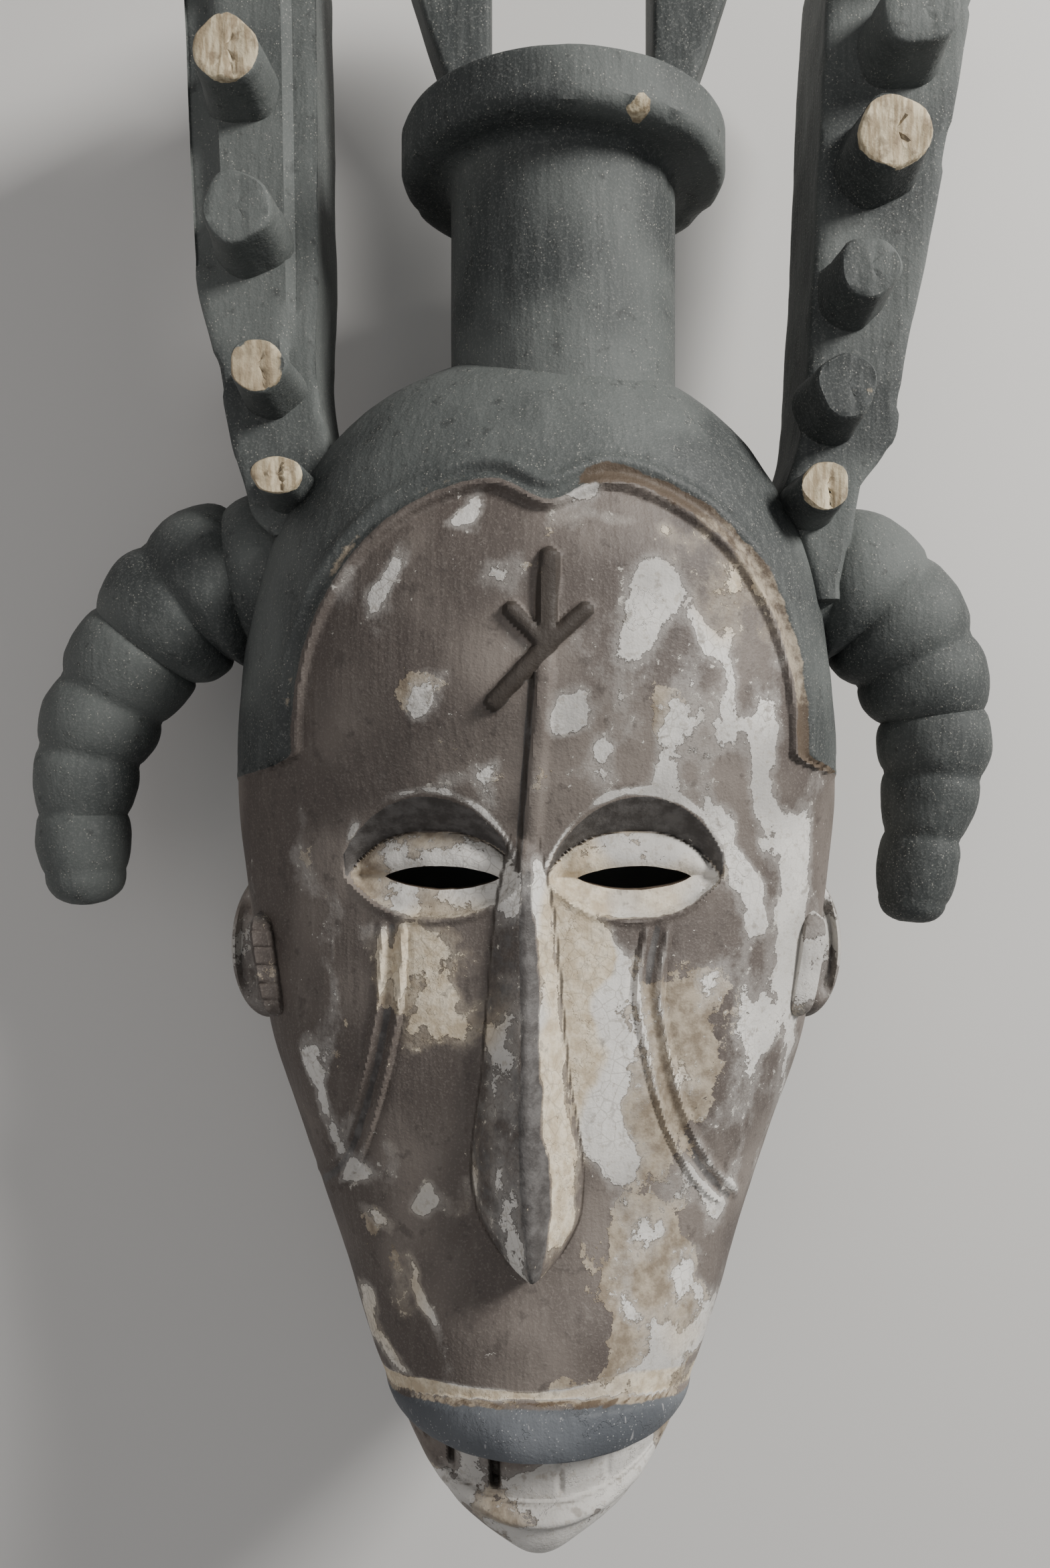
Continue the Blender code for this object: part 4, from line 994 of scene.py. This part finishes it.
# Where pale clay is left on the face, in mm: across, from the chin, half sizes, turn, strength.
PALE = (
    (38, 224, 8, 12, 20, 0.50), (57, 212, 5, 18, 24, 0.70), (63, 190, 5, 12, 0, 0.55),
    (10, 184, 7, 22, 0, 0.60), (14, 158, 9, 24, 0, 0.70), (18, 132, 8, 20, 0, 0.42),
    (24, 172, 9, 16, 0, 0.30), (22, 118, 9, 13, 0, 0.45), (32, 120, 12, 20, 20, 0.24),
    (44, 112, 9, 12, 0, 0.26), (58, 104, 9, 8, -20, 0.42), (24, 88, 8, 12, 0, 0.26),
    (48, 80, 8, 16, 12, 0.34),
    (-10, 280, 12, 20, 0, 0.20), (-14, 222, 5, 12, 0, 0.34),
    (42, 62, 12, 8, 0, 0.80), (26, 56, 12, 5, 0, 0.65), (30, 74, 10, 6, -20, 0.45),
    (22, 262, 12, 22, -14, 0.34), (36, 280, 14, 9, -46, 0.44), (52, 262, 5, 18, 24, 0.46),
    (24, 302, 18, 4, -14, 0.46), (10, 311, 10, 4, 0, 0.80), (44, 244, 9, 12, 0, 0.34),
    (70, 226, 6, 26, 10, 0.50), (78, 190, 6, 26, 4, 0.55), (80, 150, 6, 30, 0, 0.50),
    (66, 140, 7, 24, -8, 0.30), (9, 247, 5, 6, 0, 0.75), (15, 236, 5, 5, 0, 0.45),
    (-34, 252, 8, 6, 30, 0.60), (-44, 286, 4, 11, -20, 0.62), (-22, 304, 10, 4, 14, 0.50),
    (-40, 176, 12, 10, 0, 0.55), (-22, 170, 14, 14, 0, 0.30), (-30, 158, 6, 8, 0, 0.45),
    (-64, 174, 5, 26, 4, 0.58), (-66, 140, 5, 18, 8, 0.50), (-58, 120, 5, 12, 20, 0.45),
    (-30, 104, 6, 5, 0, 0.72), (-47, 96, 6, 5, 0, 0.60), (-56, 108, 7, 5, 30, 0.50),
    (-33, 74, 3, 12, 14, 0.66), (-42, 78, 6, 10, 0, 0.36), (-46, 118, 5, 14, 0, 0.35),
    (-58, 208, 4, 8, 0, 0.60), (-72, 224, 4, 18, -6, 0.45), (-26, 226, 14, 3, 10, 0.40),
    (-74, 196, 4, 14, 0, 0.40), (-52, 66, 4, 8, 20, 0.45), (-44, 54, 10, 4, -28, 0.45),
    (-20, 30, 10, 9, 20, 0.42), (10, 27, 20, 9, 0, 0.90), (30, 32, 10, 10, -30, 0.72),
    (4, 12, 22, 7, 0, 0.75), (-24, 20, 8, 10, 40, 0.40), (-38, 42, 5, 10, 30, 0.42),
    (4, 4, 18, 5, 0, 0.50),
)
# Where a tan coat shows between the clay and the dark ground.
TAN = (
    (30, 150, 22, 40, 0, 0.56), (34, 100, 20, 40, 0, 0.66), (26, 58, 30, 14, 0, 0.55),
    (36, 236, 16, 22, 0, 0.42), (20, 285, 30, 30, 0, 0.16), (60, 180, 16, 60, 0, 0.22),
    (-30, 166, 26, 16, 0, 0.50), (-62, 160, 10, 44, 0, 0.34), (-40, 84, 18, 24, 0, 0.40),
    (-36, 290, 20, 18, 0, 0.16), (-10, 50, 26, 8, 0, 0.30), (0, 20, 50, 24, 0, 0.40),
    (-38, 254, 7, 5, 20, 0.24), (-70, 222, 8, 26, 0, 0.30),
)
# Where that clay is warmer in colour.
CREAM = (
    (12, 180, 9, 40, 0, 1.0), (34, 197, 26, 14, 0, 0.75), (62, 290, 30, 30, 0, 0.6),
    (40, 66, 14, 14, 0, 0.7), (18, 300, 30, 14, 0, 0.6), (6, 120, 9, 60, 0, 0.9),
    (-30, 170, 26, 26, 0, 0.7), (40, 150, 16, 30, 0, 0.5), (-40, 100, 30, 60, 0, 0.6),
)


def carved_head():
    """Head with its hollow and eye slots cut through, dark wood showing inside them."""
    head = new_object("head", [head_form()])
    head.data.materials.append(bpy.data.materials.new("outside"))
    hollow = new_object("hollow", [cavity_form()])
    slots = new_object("slots", [slot_form(-1), slot_form(1)])
    inside = bpy.data.materials.new("inside")
    hollow.data.materials.append(inside)
    slots.data.materials.append(inside)
    cut_away(head, [hollow, slots])
    return head


def mesh_points(mesh):
    values = np.zeros(len(mesh.vertices) * 3)
    mesh.vertices.foreach_get("co", values)
    return values.reshape(-1, 3)


def store(pieces, name, values):
    """Keep one value for each point, the pieces' points in a row."""
    start = 0
    for piece in pieces:
        count = len(piece.data.vertices)
        layer = piece.data.attributes.new(name, "FLOAT", "POINT")
        layer.data.foreach_set("value", np.asarray(values[start:start + count], dtype=np.float32))
        start += count


head = carved_head()
outside, inside = head.data.materials
dark_paint = bpy.data.materials.new("dark_paint")
head_faces = [tuple(face.vertices) for face in head.data.polygons]
head_slots = [face.material_index for face in head.data.polygons]
forms = [("head", (mesh_points(head.data) - FRAME_SHIFT, head_faces)), ("column", lathe_form()),
         ("loop", loop_form())]
remove(head)
for kind, form in (("band", band_form), ("braid", braid_form), ("ear", ear_form), ("pad", pad_form)):
    forms += [(kind, form(-1)), (kind, form(1))]
forms += [("knob", knob_form(number)) for number in range(len(KNOBS))]
counts = [len(points) for kind, (points, faces) in forms]
starts = np.concatenate(((0,), np.cumsum(counts)))
kind_of = np.repeat([kind for kind, form in forms], counts)

pieces = (new_object("mask_head", [form for kind, form in forms[:1]]),
          new_object("mask_crest", [form for kind, form in forms[1:]]))
crest_slots = []
for kind, (points, faces) in forms[1:]:
    crest_slots += [int(kind not in ("ear", "pad"))] * len(faces)
for piece, second, slots in zip(pieces, (inside, dark_paint), (head_slots, crest_slots)):
    mesh = piece.data
    mesh.materials.append(outside)
    mesh.materials.append(second)
    mesh.polygons.foreach_set("use_smooth", np.ones(len(mesh.polygons), dtype=bool))
    mesh.set_sharp_from_angle(angle=math.radians(42))
    mesh.polygons.foreach_set("material_index", np.array(slots, dtype=np.int32))

pts = np.concatenate([mesh_points(piece.data) for piece in pieces]) - FRAME_SHIFT
X, Y, Z = pts[:, 0], pts[:, 1], pts[:, 2]
on_head = kind_of == "head"
on_ear = (kind_of == "ear") | (kind_of == "pad")
gap = np.clip(hairline_gap(X, Y) * 1000, -14.0, 40.0)
# Dark paint also covers the back of the sides, below the hair.
back = np.minimum((0.046 + 0.03 * rough(pts, 0.03, 121, 2) - Z) * 1000, 6.0) - 3.0
gap = np.where(Y < HAIRLINE_FROM_CHIN - HAIRLINE_END, back, np.maximum(gap, back))
hair = np.where(on_head, gap, np.where(on_ear, -14.0, 20.0))

arm_gap, line_gap, line_t, line_off = mark_gap(X, Y)
on_mark = step(0.0007, 0.0, arm_gap) * on_head
line_side = bump(line_off + 0.0032, 0.0034) * (line_gap < 0.0065) * step(0.03, 0.08, line_t)
line_side = line_side * on_head
side, rise = eye_frame(X, Y)
in_eye = (np.abs(side) < 1.02) & on_head
over_lid = step(-0.0004, 0.0008, rise - lid_top(side))
brow_band = np.where(in_eye, step(-0.0004, 0.0010, brow_top(side) - rise) * over_lid, 0.0)
almond = np.where(in_eye, (1 - over_lid) * step(-0.0006, 0.0006, rise - lid_bottom(side)), 0.0)
brow_edge = np.where(in_eye & (rise > 0.004), bump(rise - brow_top(side) - 0.0016, 0.0044), 0.0)

pale = blobs(X * 1000, Y * 1000, PALE) * on_head + 0.42 * on_ear
# The right half is paler. This is mostly painted light falling from the right, and partly the browner
# tone that the left half has of its own.
pale = pale + 0.17 * step(-0.012, 0.030, X) * on_head
tan = blobs(X * 1000, Y * 1000, TAN) * on_head + 0.3 * on_ear
tan = tan * (1 - brow_band) * (1 - 0.8 * on_mark)
broken = step(0.30, 0.62, noise(pts, 0.011, 161))
pale = pale + brow_edge * np.where(X > 0, 0.34 + 0.40 * broken, 0.18 + 0.36 * broken)
# The left lid gets less clay than the right one: painted shade.
pale = np.maximum(pale * (1 - brow_band), almond * np.where(X > 0, 0.80, 0.44))
tan = np.maximum(tan, almond * 0.75)

t_nose, off_nose, in_nose = nose_share(X, Y)
on_nose = in_nose & on_head & (np.abs(off_nose) < 1.0)
edge_nose = off_nose + 0.30 * rough(pts, 0.012, 151, 3)
painted_nose = on_nose * step(0.03, 0.14, t_nose)
ridge_stripe = painted_nose * step(-0.14, -0.06, off_nose) * (1 - step(0.30, 0.40, edge_nose))
# The nose's left flank is painted less pale and darker than its right flank: painted shade.
left_flank = painted_nose * (1 - step(-0.14, -0.06, off_nose))
right_flank = painted_nose * step(0.30, 0.42, edge_nose) * (1 - 0.55 * step(0.74, 0.92, edge_nose))
right_flank = right_flank * (1 - 0.6 * step(0.90, 0.97, t_nose))
pale = pale * (1 - painted_nose) + 0.30 * left_flank + 0.04 * ridge_stripe + 0.72 * right_flank
tan = tan * (1 - painted_nose) + 0.12 * left_flank + 0.5 * right_flank
off_border = (np.abs(off_nose) - 1.0) * nose_half_width(t_nose)
nose_border = np.where(on_head & in_nose, bump(off_border, 0.0022), 0.0)

# Less clay on the mark, which has its own dark paint, and in the groove beside its line, as painted
# shade.
pale = pale * (1 - 0.9 * on_mark) * (1 - 0.8 * line_side)

scar, scar_fall = scar_gap(X, Y)
on_scar = step(-0.05, 0.0, scar_fall) * (1 - step(1.0, 1.03, scar_fall)) * on_head
scar_lines = on_scar * (bump(scar - 0.0031, 0.0024) + bump(scar + 0.0031, 0.0024))
scar_groove = on_scar * bump(scar, 0.0048)
# Less clay in the scar grooves, as painted shade. The scar ridges are paler on the right than on the
# left, as painted light.
pale = pale * (1 - 0.55 * scar_groove) + 0.26 * scar_lines * (0.4 + 0.6 * (X > 0))

along, lip_off, lip_half = mouth_shape(X, Y)
front = on_head & (Z > 0.07)
in_mouth = np.abs(X) < LIP_HALF_LENGTH
lip = np.minimum(lip_half - lip_off, lip_off + lip_half) * 1000
lip = np.where(front & (np.abs(X) < LIP_HALF_LENGTH * 1.02), lip, -9.0)
over_lip = (lip_off - lip_half) * 1000
thick = 2.2 + 4.5 * step(0.004, 0.026, X) + 1.5 * (1 - step(-0.034, -0.020, X))
strip = step(0.2, 0.9, over_lip) * (1 - step(thick, thick + 2.6, over_lip)) * in_mouth * front
pale = np.where(lip > 0.2, 0.0, np.maximum(pale, 0.84 * strip))
fade, below, high = teeth_row(X, lip_off, lip_half)
inner, between = teeth_gaps(X, below, high)
mouth_line = bump(below - high, 0.0016) * (fade > 0.05) * front
under_lip = bump(below - 0.0003, 0.0016) * front * in_mouth
tooth_gap = clipped(between * 1.6) * front
lid_line = np.where(in_eye, 0.7 * bump(rise - lid_top(side), 0.0020), 0.0)

# Dark paint of the nose's ridge stripe, the brows and the mark. The rest is painted shade: on the nose's
# left flank, in the scar grooves, beside the mark's line and between the teeth.
dark = np.maximum.reduce((ridge_stripe, brow_band, 0.9 * on_mark, 0.45 * left_flank, 0.7 * scar_groove,
                          line_side, tooth_gap))
# Painted shade in the creases and gaps: along the mouth's line, under the upper lip, round the nose,
# between the teeth, beside the mark's line and over the lids. It also darkens the mark itself, which has
# its own dark paint.
crease_shade_and_mark = np.maximum.reduce((0.45 * mouth_line, 0.7 * under_lip, 0.75 * nose_border, tooth_gap,
                           0.90 * on_mark, 0.80 * line_side, lid_line))
cream = np.maximum(blobs(X * 1000, Y * 1000, CREAM), 0.9 * strip)
stain = np.exp(-((gap - 3.5) / 3.2) ** 2) * step(0.004, 0.020, X) * (Y > 0.225) * on_head
stain = stain + 0.35 * np.exp(-((gap - 3.5) / 2.5) ** 2) * (X < 0) * on_head * (Y > 0.24)
stain = np.maximum(stain, 0.70 * np.exp(-((over_lip - 0.1) / 0.55) ** 2) * front * in_mouth)

raw = np.zeros(len(pts))
knob_end = BAND_FRONT_Z + KNOB_LENGTH
first = len(forms) - len(KNOBS)
for knob, start, end in zip(KNOBS, starts[first:], starts[first + 1:]):
    knob_y, knob_x, radius, oval, knob_raw = knob
    flat = step(knob_end - 0.003, knob_end - 0.0012, Z[start:end])
    reach = np.hypot(X[start:end] - knob_x, (Y[start:end] - knob_y) / oval) / radius
    raw[start:end] = knob_raw * flat * (1 - step(0.80, 0.97, reach))
# A chip in the collar's edge.
chip = step(0.0050, 0.0018, np.hypot(np.hypot(X - 0.0290, Z - 0.1335), Y - 0.4235))
raw = np.maximum(raw, chip * (kind_of == "column"))

broad = rough(pts, 0.040, 171, 3)
flakes = 0.62 * rough(pts * (1.0, 0.85, 1.0), 0.0125, 175, 3)
patches = 0.60 * rough(pts, 0.036, 181, 3)
layers = 0.62 * rough(pts, 0.024, 191, 4)
fields = {
    "broad": broad,
    "wear": layers + patches,
    "hair": hair + 3.6 * flakes,
    "pale": pale + 2.00 * flakes + 1.15 * patches,
    "cream": clipped(cream) + 1.4 * patches,
    "tan": tan + 1.70 * layers + 1.10 * flakes,
    "dark": dark,
    "lip": lip + 1.6 * flakes,
    "raw": raw + 1.1 * flakes,
    "stain": clipped(stain) + 1.5 * flakes,
    "crease_shade_and_mark": clipped(crease_shade_and_mark) + 0.9 * flakes,
}
for name, values in fields.items():
    store(pieces, name, values)


# Materials.

class Tree:
    """Short way to write a material's nodes. A value is a number, a colour or a node's output."""

    def __init__(self, material):
        material.use_nodes = True
        self.nodes = material.node_tree.nodes
        self.links = material.node_tree.links
        self.shader = self.nodes["Principled BSDF"]

    def set(self, socket, value):
        if isinstance(value, bpy.types.NodeSocket):
            self.links.new(value, socket)
        else:
            socket.default_value = value

    def add(self, kind, **values):
        """New node with values on its inputs, named with _ for a space."""
        node = self.nodes.new("ShaderNode" + kind)
        for name, value in values.items():
            self.set(node.inputs[name.replace("_", " ")], value)
        return node

    def math(self, operation, a, b):
        node = self.add("Math")
        node.operation = operation
        self.set(node.inputs[0], a)
        self.set(node.inputs[1], b)
        return node.outputs[0]

    def plus(self, a, b):
        return self.math("ADD", a, b)

    def times(self, a, b):
        return self.math("MULTIPLY", a, b)

    def ramp(self, value, low, high, to_low=0.0, to_high=1.0):
        node = self.add("MapRange", Value=value, From_Min=low, From_Max=high, To_Min=to_low,
                        To_Max=to_high)
        node.interpolation_type = "SMOOTHSTEP"
        return node.outputs["Result"]

    def mix(self, share, a, b):
        node = self.add("Mix")
        node.data_type = "RGBA"
        self.set(node.inputs["Factor"], share)
        self.set(node.inputs[6], a)
        self.set(node.inputs[7], b)
        return node.outputs[2]

    def between(self, value, low, high, colours):
        """First colour where the value is low, second where it is high."""
        return self.mix(self.ramp(value, low, high), *colours)

    def coats(self, colour, *coats):
        """Colour under others, each as its value, where it starts and is full, strength, colour."""
        for value, low, high, strength, over in coats:
            colour = self.mix(self.ramp(value, low, high, 0.0, strength), colour, over)
        return colour

    def attribute(self, name):
        node = self.add("Attribute")
        node.attribute_name = name
        return node.outputs["Fac"]

    def frayed(self, name, ragged, amount):
        """Stored field with its borders made ragged by a noise."""
        return self.plus(self.attribute(name), self.times(ragged, amount))

    def place(self, scale=(1.0, 1.0, 1.0)):
        coordinates = self.add("TexCoord").outputs["Object"]
        return self.add("Mapping", Vector=coordinates, Scale=scale).outputs["Vector"]

    def noise(self, vector, scale, detail, roughness):
        node = self.add("TexNoise", Vector=vector, Scale=scale, Detail=detail, Roughness=roughness)
        return node.outputs["Fac"]

    def finish(self, colour, height, strength, distance):
        """Link the colour and the raised surface to the shader."""
        normal = self.add("Bump", Height=height, Strength=strength, Distance=distance).outputs["Normal"]
        self.links.new(colour, self.shader.inputs["Base Color"])
        self.links.new(normal, self.shader.inputs["Normal"])


class PaintedTree(Tree):
    """Nodes of a painted surface, with the fine noises that its coats share."""

    def __init__(self, material):
        super().__init__(material)
        self.here = self.place()
        self.long = self.place((1.0, 0.16, 1.0))
        self.mottle = self.noise(self.here, 190.0, 3.0, 0.68)
        self.streak = self.noise(self.long, 480.0, 1.0, 0.55)
        self.grit = self.noise(self.here, 1300.0, 1.0, 0.65)
        self.shader.inputs["Specular IOR Level"].default_value = 0.35
        cells = self.add("TexVoronoi", Vector=self.here, Scale=900.0).outputs["Distance"]
        self.speck = self.times(self.ramp(cells, 0.24, 0.12), self.ramp(self.mottle, 0.46, 0.56))

    def dark_layer(self):
        """Dark blue-grey paint of the hair and the crest, with pale specks."""
        colour = self.between(self.attribute("broad"), -0.15, 0.18, DARK_PAINT)
        colour = self.coats(colour, (self.streak, 0.45, 0.75, 0.20, (0.125, 0.132, 0.126, 1)),
                            (self.grit, 0.52, 0.68, 0.40, (0.150, 0.154, 0.146, 1)),
                            (self.mottle, 0.58, 0.74, 0.45, (0.014, 0.015, 0.015, 1)))
        return self.mix(self.times(self.speck, 0.65), colour, (0.36, 0.35, 0.31, 1))

    def finish_paint(self, colour, height):
        height = self.plus(height, self.times(self.mottle, 0.45))
        height = self.plus(height, self.times(self.grit, 0.18))
        self.finish(colour, height, 0.85, 0.0008)


# Colours in pairs, from where a coat is darkest to where it is lightest.
DARK_PAINT = ((0.040, 0.045, 0.044, 1), (0.098, 0.107, 0.102, 1))
RAW_WOOD = ((0.33, 0.260, 0.165, 1), (0.58, 0.500, 0.350, 1))
OLD_WOOD = ((0.075, 0.050, 0.032, 1), (0.165, 0.115, 0.075, 1))
GROUND = ((0.090, 0.074, 0.065, 1), (0.190, 0.163, 0.142, 1))
DARK_GROUND = ((0.050, 0.046, 0.044, 1), (0.120, 0.114, 0.110, 1))
TAN_COAT = ((0.200, 0.160, 0.115, 1), (0.370, 0.315, 0.240, 1))
COOL_CLAY = ((0.40, 0.385, 0.36, 1), (0.68, 0.66, 0.62, 1))
WARM_CLAY = ((0.46, 0.38, 0.27, 1), (0.72, 0.64, 0.50, 1))
LIP_PAINT = ((0.080, 0.087, 0.097, 1), (0.150, 0.160, 0.172, 1))
STAIN = ((0.085, 0.058, 0.036, 1), (0.38, 0.32, 0.24, 1))


def crest_paint(material):
    """Dark paint of the crest and the braids, rubbed off to raw wood on some knobs."""
    tree = PaintedTree(material)
    colour = tree.dark_layer()
    grain = tree.noise(tree.long, 700.0, 2.0, 0.6)
    raw_on = tree.ramp(tree.frayed("raw", tree.math("SUBTRACT", tree.mottle, 0.5), 0.5), 0.42, 0.50)
    raw_colour = tree.coats(tree.between(grain, 0.36, 0.66, RAW_WOOD),
                            (tree.mottle, 0.50, 0.66, 0.60, (0.17, 0.125, 0.080, 1)),
                            (tree.attribute("wear"), 0.02, 0.14, 0.5, (0.30, 0.24, 0.16, 1)))
    tree.shader.inputs["Roughness"].default_value = 0.72
    tree.finish_paint(tree.mix(raw_on, colour, raw_colour), tree.times(tree.streak, 0.35))


def head_paint(material):
    """Coats of the head: dark ground, tan, pale clay in flakes, the lip's and the hair's paint."""
    tree = PaintedTree(material)
    mottle = tree.mottle
    edge = tree.math("SUBTRACT", tree.noise(tree.here, 360.0, 3.0, 0.72), 0.5)
    broad = tree.attribute("broad")
    wear = tree.attribute("wear")

    base = tree.coats(tree.between(broad, -0.15, 0.17, GROUND),
                      (tree.streak, 0.50, 0.80, 0.14, (0.240, 0.214, 0.188, 1)),
                      (tree.grit, 0.52, 0.70, 0.30, (0.230, 0.205, 0.180, 1)),
                      (mottle, 0.56, 0.70, 0.50, (0.055, 0.045, 0.040, 1)))
    # Dark coat: dark paint of the nose's ridge, the brows and the mark, and painted shade in the grooves,
    # between the teeth and on the nose's left flank.
    dark_on = tree.ramp(tree.frayed("dark", mottle, 0.5), 0.62, 0.82, 0.0, 0.92)
    base = tree.mix(dark_on, base, tree.between(mottle, 0.35, 0.70, DARK_GROUND))

    amount = tree.frayed("pale", edge, 0.46)
    thin = tree.ramp(amount, 0.20, 0.51, 0.0, 0.30)
    crumbs = tree.ramp(tree.plus(tree.times(tree.attribute("pale"), 0.30), edge), 0.225, 0.240)
    flake = tree.math("MAXIMUM", tree.ramp(amount, 0.500, 0.515), crumbs)
    under_on = tree.ramp(tree.frayed("tan", edge, 0.42), 0.40, 0.415)

    warm = tree.between(mottle, 0.35, 0.70, WARM_CLAY)
    clay = tree.between(wear, -0.20, 0.20, COOL_CLAY)
    clay = tree.coats(clay, (tree.attribute("cream"), 0.40, 0.75, 1.0, warm),
                      (edge, 0.06, 0.16, 0.45, (0.30, 0.265, 0.215, 1)),
                      (mottle, 0.58, 0.72, 0.60, (0.20, 0.175, 0.145, 1)))
    cracks = tree.add("TexVoronoi", Vector=tree.here, Scale=260.0)
    cracks.feature = "DISTANCE_TO_EDGE"
    crack = tree.times(tree.ramp(cracks.outputs["Distance"], 0.05, 0.015), tree.ramp(wear, 0.0, 0.12))
    clay = tree.mix(tree.times(crack, 0.35), clay, (0.17, 0.145, 0.115, 1))

    face = tree.mix(under_on, base, tree.between(mottle, 0.35, 0.68, TAN_COAT))
    face = tree.mix(thin, face, clay)
    face = tree.mix(flake, face, clay)
    rim = tree.times(tree.ramp(amount, 0.46, 0.500), tree.ramp(amount, 0.540, 0.505))
    face = tree.mix(tree.times(rim, 0.40), face, (0.060, 0.048, 0.040, 1))
    # Dark brown coat: painted shade in the creases and gaps, and the mark's darker paint.
    crease_shade_and_mark = tree.frayed("crease_shade_and_mark", edge, 0.30)
    face = tree.coats(face, (crease_shade_and_mark, 0.30, 0.70, 0.85, (0.038, 0.029, 0.022, 1)))

    scratch = tree.noise(tree.place((1.0, 0.25, 1.0)), 620.0, 1.0, 0.5)
    lip = tree.coats(tree.between(broad, -0.15, 0.15, LIP_PAINT),
                     (scratch, 0.70, 0.76, 0.6, (0.34, 0.34, 0.34, 1)))
    lip = tree.mix(tree.times(tree.speck, 0.6), lip, (0.42, 0.42, 0.42, 1))
    stain = tree.between(tree.plus(wear, tree.times(edge, 0.5)), -0.12, 0.12, STAIN)
    colour = tree.coats(face, (tree.frayed("lip", edge, 0.55), 0.0, 0.30, 1.0, lip),
                        (tree.frayed("hair", edge, 1.2), 1.6, 2.0, 1.0, tree.dark_layer()),
                        (tree.frayed("stain", edge, 0.50), 0.40, 0.56, 0.85, stain))

    tree.links.new(tree.ramp(flake, 0.0, 1.0, 0.62, 0.86), tree.shader.inputs["Roughness"])
    crust = tree.plus(tree.times(flake, 0.50), tree.times(under_on, 0.25))
    crust = tree.times(crust, tree.ramp(tree.attribute("hair"), 2.0, 1.0))
    tree.finish_paint(colour, tree.plus(crust, tree.times(tree.streak, 0.30)))


def bare_wood(material):
    """Dark unpainted wood of the hollow and the eye slots."""
    tree = Tree(material)
    grain = tree.noise(tree.place((1.0, 0.12, 1.0)), 300.0, 5.0, 0.6)
    broad = tree.noise(tree.place(), 20.0, 4.0, 0.6)
    colour = tree.coats(tree.between(grain, 0.35, 0.68, OLD_WOOD),
                        (broad, 0.45, 0.68, 0.6, (0.040, 0.030, 0.022, 1)))
    tree.shader.inputs["Roughness"].default_value = 0.8
    tree.finish(colour, grain, 0.6, 0.0006)


head_paint(outside)
crest_paint(dark_paint)
bare_wood(inside)
for piece in pieces:
    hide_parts("mask")
    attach(piece, "root")


# Floor, light and camera.

def plain_floor():
    mesh = bpy.data.meshes.new("floor")
    size = 3.0
    corners = [(-size, -size, 0), (size, -size, 0), (size, size, 0), (-size, size, 0)]
    mesh.from_pydata(corners, [], [(0, 1, 2, 3)])
    floor = bpy.data.objects.new("floor", mesh)
    bpy.context.scene.collection.objects.link(floor)
    material = bpy.data.materials.new("floor")
    material.use_nodes = True
    shader = material.node_tree.nodes["Principled BSDF"]
    shader.inputs["Base Color"].default_value = (0.62, 0.61, 0.59, 1)
    shader.inputs["Roughness"].default_value = 0.9
    floor.data.materials.append(material)
    floor.location = (0, 0, -0.0005)


def soft_light(name, place, target, size, power, colour=(1, 1, 1)):
    light = bpy.data.lights.new(name, "AREA")
    light.shape = "RECTANGLE"
    light.size = size[0]
    light.size_y = size[1]
    light.energy = power
    light.color = colour
    lamp = bpy.data.objects.new(name, light)
    bpy.context.scene.collection.objects.link(lamp)
    lamp.location = place
    lamp.rotation_euler = (Vector(target) - lamp.location).to_track_quat("-Z", "Y").to_euler()


plain_floor()
soft_light("key", (1.00, 0.62, 0.78), (0.02, -0.03, 0.08), (0.36, 0.36), 30, (1.0, 0.98, 0.95))
soft_light("fill", (-0.9, -0.1, 1.2), (0, 0, 0.08), (1.2, 1.2), 4.0, (1.0, 0.93, 0.90))
soft_light("top", (0.0, -0.2, 1.9), (0, 0, 0), (1.4, 1.4), 4.0)
world_light = bpy.data.worlds.new("studio")
world_light.use_nodes = True
world_light.node_tree.nodes["Background"].inputs[0].default_value = (0.9, 0.92, 0.95, 1)
world_light.node_tree.nodes["Background"].inputs[1].default_value = 0.22
bpy.context.scene.world = world_light

# The photograph was taken from straight in front, close by. Its focal length was worked out in its own
# pixels from the perspective of the crest and the braids.
PHOTO_HEIGHT_PX = 2341
FOCAL_LENGTH_PX = 1750
SENSOR_HEIGHT_MM = 36.0
CAMERA_PLACE = (-0.004, 0.226, 0.475)

camera_data = bpy.data.cameras.new("camera")
camera = bpy.data.objects.new("camera", camera_data)
bpy.context.scene.collection.objects.link(camera)
camera_data.sensor_fit = "VERTICAL"
camera_data.sensor_height = SENSOR_HEIGHT_MM
camera_data.sensor_width = 24.0
camera_data.lens = SENSOR_HEIGHT_MM * FOCAL_LENGTH_PX / PHOTO_HEIGHT_PX
camera_data.clip_start = 0.01
camera.location = FRAME_SHIFT + np.array(CAMERA_PLACE)
bpy.context.scene.camera = camera
